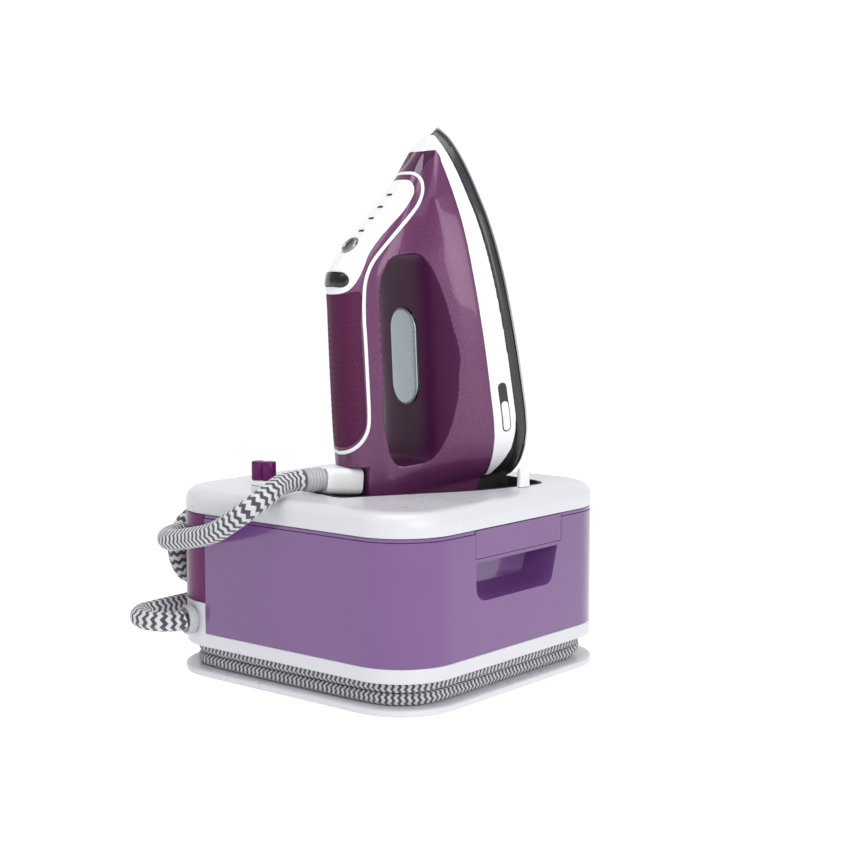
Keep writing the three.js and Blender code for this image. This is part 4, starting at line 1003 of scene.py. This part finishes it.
def recess_block(margin):
    left, right, low, top = (RECESS["left"] - margin, RECESS["right"] + margin, RECESS["bottom"] - margin,
                             RECESS["top"] + margin)
    mouth = rounded_polygon([[left, top], [left, low], [right - 8, low], [right, top]], [0.5, 12, 6, 0.5], 8)
    back = np.column_stack([mouth[:, 0] * 0.92, top + (mouth[:, 1] - top) * 0.72])
    depths = (BASE_HALF - RECESS["depth"] - margin, BASE_HALF + 5)
    return rings_mesh("recess", [np.column_stack([np.full(len(p), d), p])
                                 for d, p in zip(depths, (back, mouth))])


def bevelled(obj, width, segments=2, angle=40):
    """Rounds the sharp edges of a piece in its mesh."""
    modifier = obj.modifiers.new("bevel", "BEVEL")
    modifier.width = width * MM
    modifier.segments = segments
    modifier.limit_method = "ANGLE"
    modifier.angle_limit = math.radians(angle)
    modifier.use_clamp_overlap = True
    return obj


def square_ring(inset, z, steps=24):
    """The base's rounded square at height z, moved in by inset."""
    corner = CORNER - inset if inset < 16 else 26
    return flat_ring(rounded_rect(BASE_HALF - inset, BASE_HALF - inset, corner, steps), z)


def make_pan():
    deep = BASE_HALF - CORE_HALF
    profile = [(-0.4, PLATE_LOW), (-0.85, PLATE_LOW + 0.2), (-1, PLATE_LOW + 0.7), (-1, PLATE_TOP - 0.9),
               (-0.75, PLATE_TOP - 0.3), (-0.1, PLATE_TOP), (4, PLATE_TOP), (deep - 1.2, PLATE_TOP),
               (deep - 0.3, PLATE_TOP + 0.4), (deep, PLATE_TOP + 1.4), (deep, BAND_BOTTOM - GAP)]
    rings = [square_ring(d, z, 20) for d, z in profile]
    base_piece("foot_plate", rings_mesh("pan", rings), WHITE_WITH_PAINTED_SHADE, ["base_pan"], 40)


def make_feet():
    for i, (sx, sy) in enumerate(((1, 1), (-1, 1), (-1, -1), (1, -1))):
        foot = lathe([(0, 0), (7.6, 0), (8.6, 0.25), (9, 0.7), (9, 1.6), (0, 1.6)], 40)
        base_piece(f"rubber_foot_{i + 1}", moved(foot, Matrix.Translation((sx * 0.084, sy * 0.084, 0))),
                   BLACK_RUBBER, [f"foot_{i + 1}"], 50)


def make_tray():
    tray = soft_block(BASE_HALF, CORNER, BAND_BOTTOM, BAND_TOP, 1.4, 0.9)
    wall = housing_block(BASE_HALF, CORNER, 0, BAND_TOP - 2, COLLAR_TOP)
    obj = new_object("tray_band", join(tray, wall))
    bevelled(dress(obj, WHITE_WITH_PAINTED_SHADE, "base", ["lower_tray"], 35), 0.5, 2)


def make_housing():
    obj = new_object("housing_wall", cut(housing_block(BASE_HALF, CORNER, 0, COLLAR_TOP + GAP, TANK_TOP),
                                         housing_block(BASE_HALF - WALL, CORNER - WALL, WALL, COLLAR_TOP - 1,
                                                       TANK_TOP + 1)))
    bevelled(dress(obj, HOUSING, "base", ["rear_housing"], 35), 0.5, 2)


def make_tank():
    floor, top = BAND_TOP + GAP, TANK_TOP - 2.6
    shell = cut(tank_block(0, floor, top), tank_block(WALL, floor + WALL, TANK_TOP))
    pocket = common(recess_block(WALL), tank_block(0.01, floor, top))
    mouth = block(BASE_HALF - 12, BASE_HALF + 5, -48.2, 48.8, 96.4, 130)
    body = cut(join(shell, pocket), recess_block(0), mouth)
    bevelled(dress(new_object("water_vessel", body), TANK, "tank", ["water_tank"], 35), 0.35,
             2)
    lid = cut(tank_block(0.2, TANK_TOP - 2.3, TANK_TOP),
              block(BASE_HALF - 3.4, BASE_HALF + 5, -48.6, 49.2, 90, 130))
    bevelled(dress(new_object("vessel_lid", lid), TANK, "tank", ["tank_lid"], 35), 0.3, 2)
    flap = join(block(BASE_HALF - WALL, BASE_HALF, -47.9, 48.5, 96.7, TANK_TOP - 0.2),
                block(BASE_HALF - 10, BASE_HALF - WALL + 0.5, -40, 40, 97.2, 99.2))
    bevelled(dress(new_object("filler_flap", flap), TANK, "fill_flap", ["fill_flap"], 35), 0.4,
             3)


def well_outline(grow):
    corners = [[-31, -69], [31, -69], [35, -50], [57, 26], [57, 88], [-57, 88], [-57, 26], [-35, -50]]
    p = rounded_polygon(corners, [9, 9, 10, 18, 16, 16, 18, 10], 10)
    out = p - [0, 10]
    size = np.linalg.norm(out, axis=1)[:, None]
    p = [0, 10] + out / size * (size + grow)
    c, s = math.cos(TURN), math.sin(TURN)
    return np.column_stack([p[:, 0] * c - p[:, 1] * s + WELL[0], p[:, 0] * s + p[:, 1] * c + WELL[1]])


def make_cover():
    edge = smooth_curve([[0, 123.4], [0.9, 126.6], [2.7, 129.3], [5.6, 131.2], [10, 132], [30, 132.05]])
    profile = [(0.5, COVER_BOTTOM), (0.1, COVER_BOTTOM + 0.15), (0, COVER_BOTTOM + 0.6), (0, 119), (0, 122)]
    profile += [(d, float(edge(d))) for d in (0.02, 0.2, 0.5, 0.9, 1.4, 2, 2.7, 3.6, 4.6, 5.6,
                                              6.8, 8.2, 10, 13)]
    top = flat_ring(rounded_rect(BASE_HALF - 20, BASE_HALF - 20, CORNER - 20, 24), float(edge(20)))
    outer = rings_mesh("cover", [square_ring(d, z) for d, z in profile] + [top])
    inside = ((WALL, COVER_BOTTOM - 1), (WALL, 124), (12, COVER_TOP - 3))
    inner = rings_mesh("cover_inside", [square_ring(d, z) for d, z in inside])
    obj = new_object("cover_lid", cut(outer, inner, prism(well_outline(WALL + GAP), 100, 150)))
    bevelled(dress(obj, WHITE_WITH_PAINTED_SHADE, "base", ["top_cover"], 30), 0.5, 3, 50)


def make_well():
    levels = [(WALL, WELL_FLOOR - WALL), (WALL, COVER_TOP), (WALL - 0.3, COVER_TOP + 0.35),
              (WALL - 0.9, COVER_TOP + 0.5),
              (0.7, COVER_TOP + 0.5), (0.2, COVER_TOP + 0.2), (0, COVER_TOP - 0.5), (0, WELL_FLOOR + 1.5),
              (-0.6, WELL_FLOOR + 0.4),
              (-1.8, WELL_FLOOR)]
    obj = new_object("well_tub", rings_mesh("tub", [flat_ring(well_outline(g), z) for g, z in levels]))
    dress(obj, BLACK_RUBBER, "base", ["well_liner"], 45)


def make_rest():
    rings = []
    for z, k, grow in ((COVER_TOP + 0.3, 1.0, 0.5), (COVER_TOP + 1.2, 1.0, 0.1), (COVER_TOP + 8, 0.97, 0),
                       (COVER_TOP + 12, 0.93, 0), (COVER_TOP + 13.2, 0.84, 0), (COVER_TOP + 13.5, 0.7, 0)):
        p = rounded_polygon([[60.4, 57.5], [65, 57.5], [65, 66.5], [60.4, 66.5]], [1.8, 1.8, 1.8, 1.8], 6)
        p = np.column_stack([62.7 + (p[:, 0] - 62.7) * k, 62 + (p[:, 1] - 62) * (0.5 + 0.5 * k)])
        rings.append(flat_ring(grown(p, grow), z))
    dress(new_object("rest_post", rings_mesh("rest", rings), TURNED), WHITE, "base",
          ["sole_rest"], 40)


def make_lock():
    x, y = -60, -66.5
    foot = [flat_ring(rounded_rect(8 - d, 7 - d, 5 - d, 10, x, y), z)
            for d, z in ((-0.4, COVER_TOP + 0.3), (0, COVER_TOP + 0.9), (0, 134.9), (0.3, 135.4), (1, 135.6))]
    base_piece("lock_base", rings_mesh("foot", foot), WHITE, ["lock_foot"], 40)
    posts = []
    for cx, cy in ((x - 3.9, y - 1.2), (x + 3.9, y + 1.2)):
        post = lathe([(0, 135.9), (4.9, 135.9), (5.1, 136.2), (5.1, 148.2), (4.9, 148.7), (4.4, 149),
                      (0, 149)], 40)
        posts.append(moved(post, Matrix.Translation((cx * MM, cy * MM, 0))))
    dress(new_object("lock_knob", join(*posts)), HOUSING, "lock", ["lock_hook"], 40)


def make_port():
    profile = [(0, -9), (8.1, -9), (8.1, 1.0), (10.2, 1.2), (10.4, 1.7), (10.3, 5.4), (9.9, 6.2),
               (9.3, 6.5), (8.6, 6.4),
               (7.9, 5.6), (7.5, 4.4), (4.5, 4.2), (4.5, 2), (0, 2)]
    way = (math.cos(PORT_TURN), math.sin(PORT_TURN), 0)
    base_piece("hose_socket", aim(lathe(profile, 48), PORT, way), LIGHT_GREY,
               ["hose_port"], 40)


def make_gland():
    rings = []
    for i, x in enumerate(np.linspace(70, 47.9, 23)):
        r = (4.4 - 0.4 * i / 22) - (0.5 if i % 3 == 1 and 2 < i < 20 else 0)
        a = np.linspace(0, 2 * math.pi, 28, endpoint=False)
        rings.append(np.column_stack([np.full(28, x), LEAD_HALF + r * np.cos(a), LEAD_LOW + r * np.sin(a)]))
    boot = rings_mesh("boot", rings)
    body = [np.column_stack([np.full(len(p), x), p[:, 0] + 102.2 - 0.1, p[:, 1] + 10])
            for x, p in ((69, rounded_rect(3.9, 2.9, 1, 6)), (69.4, rounded_rect(4.6, 3.4, 1.2, 6)),
                         (76.6, rounded_rect(4.6, 3.4, 1.2, 6)),
                         (77, rounded_rect(3.9, 2.9, 1, 6)))]
    base_piece("lead_boot", join(boot, rings_mesh("gland", body)), GREY, ["lead_gland"], 40)


def make_plug():
    x, y, z = 7.6, 142, 18.4
    rings = []
    for i, u in enumerate(np.linspace(0, 26, 27)):
        r = 5 + 3.5 * u / 26 - (0.55 if i % 3 == 1 and 2 < i < 24 else 0)
        a = np.linspace(0, 2 * math.pi, 32, endpoint=False)
        rings.append(np.column_stack([np.full(32, x - u), y + r * np.cos(a), 12.6 + 4.4 * u / 26
                                      + r * np.sin(a)]))
    neck = rings_mesh("neck", rings)
    width = smooth_curve([[23, 6.5], [24, 8], [34, 15], [46, 17.6], [58, 18.2], [61.2, 18.2], [62, 17.6]])
    head = rings_mesh("head", [np.column_stack([np.full(len(p), x - u), y + p[:, 0], z + p[:, 1]])
                               for u in (23, 24, 26, 29, 32, 35, 39, 44, 50, 56, 60, 61.2, 61.8, 62)
                               for p in [rounded_rect(float(width(u)), float(width(u)) * 0.94,
                                                      float(width(u)) * 0.6, 8)]])
    body = join(head, neck)
    plug = base_piece("plug_body", body, GREY, ["mains_plug"], 40)
    for i, side in enumerate((-9.5, 9.5)):
        sleeve = aim(lathe([(0, 0), (2.4, 0), (2.4, 10), (0, 10)], 24), (x - 60, y + side, z), (-1, 0, 0))
        tip = aim(lathe([(0, 9.5), (2.3, 9.5), (2.3, 19.6), (2.0, 20.5), (1.3, 21), (0, 21)], 24),
                  (x - 60, y + side, z), (-1, 0, 0))
        base_piece(f"pin_sleeve_{i + 1}", sleeve, GREY)
        base_piece(f"pin_tip_{i + 1}", tip, STEEL, angle=50)
    return plug


def dress_inner_nodes():
    by_node = {"heater_casting": CAST, "boiler": STEEL, "boiler_thermostat": BLACK, "pump": GREY,
               "steam_valve": STEEL,
               "control_board": BOARD, "inlet_valve": BLACK}
    for name, material in by_node.items():
        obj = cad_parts[name]
        obj.data.materials.clear()
        obj.data.materials.append(material)


# ---------------------------------------------------------------- floor and light
def make_floor():
    corners = [(x * FLOOR_HALF, y * FLOOR_HALF, -0.0002) for x, y in ((-1, -1), (1, -1), (1, 1), (-1, 1))]
    floor = new_object("floor", mesh_from("floor", corners, [(0, 1, 2, 3)]))
    material, tree, shader = node_material("floor_white")
    feed(tree, shader, {"Base Color": (0.35, 0.35, 0.35, 1), "Roughness": 0.9, "Specular IOR Level": 0.0,
                        "Emission Color": (1, 1, 1, 1), "Emission Strength": 0.87})
    floor.data.materials.append(material)


def make_room():
    """A white backdrop behind the object and at the horizon, and a greyer room elsewhere."""
    world = bpy.data.worlds.new("studio")
    world.use_nodes = True
    tree = world.node_tree
    way = node(tree, "TexCoord", {}).outputs["Generated"]
    behind = node(tree, "VectorMath", {0: way, 1: (-0.63, 0.77, -0.6)}, operation="DOT_PRODUCT")
    level = node(tree, "MapRange", {"Value": behind.outputs["Value"], "From Min": 0.1, "From Max": 0.7,
                                    "To Min": ROOM_LIGHT, "To Max": BACKDROP_LIGHT},
                 interpolation_type="SMOOTHSTEP")
    height = node(tree, "SeparateXYZ", {"Vector": way})
    horizon = node(tree, "MapRange", {"Value": height.outputs["Z"], "From Min": 0.06, "From Max": 0.24,
                                      "To Min": BACKDROP_LIGHT, "To Max": 0.0},
                   interpolation_type="SMOOTHSTEP")
    brighter = node(tree, "Math", {0: level.outputs["Result"], 1: horizon.outputs["Result"]},
                    operation="MAXIMUM")
    feed(tree, tree.nodes["Background"], {0: (1, 1, 1, 1), 1: brighter.outputs["Value"]})
    bpy.context.scene.world = world
    bpy.context.scene.view_settings.view_transform = "Standard"


def make_lights():
    for name, place, target, size, power in (("key", (1.7, -0.6, 0.9), (0, 0, 0.15), 1.2, 17),
                                             ("front", (-0.3, -1.6, 1.5), (0, 0, 0.2), 1.0, 3),
                                             ("top", (0.1, -0.3, 2.0), (0, 0, 0.1), 1.4, 22)):
        data = bpy.data.lights.new(name, "AREA")
        data.shape = "SQUARE"
        data.size = size
        data.energy = power
        light = bpy.data.objects.new(name, data)
        bpy.context.scene.collection.objects.link(light)
        light.location = place
        light.rotation_euler = (Vector(target) - Vector(place)).to_track_quat("-Z", "Y").to_euler()


make_lead(make_plug())
make_iron_body()
make_grip_dots(make_iron_skins())
make_controls()
make_badge()
make_side_inserts()
make_sole()
make_cuff()
make_steam_pipe()
make_pan()
make_feet()
make_tray()
make_housing()
make_tank()
make_cover()
make_well()
make_rest()
make_lock()
make_port()
make_gland()
dress_inner_nodes()
make_floor()
make_room()
make_lights()
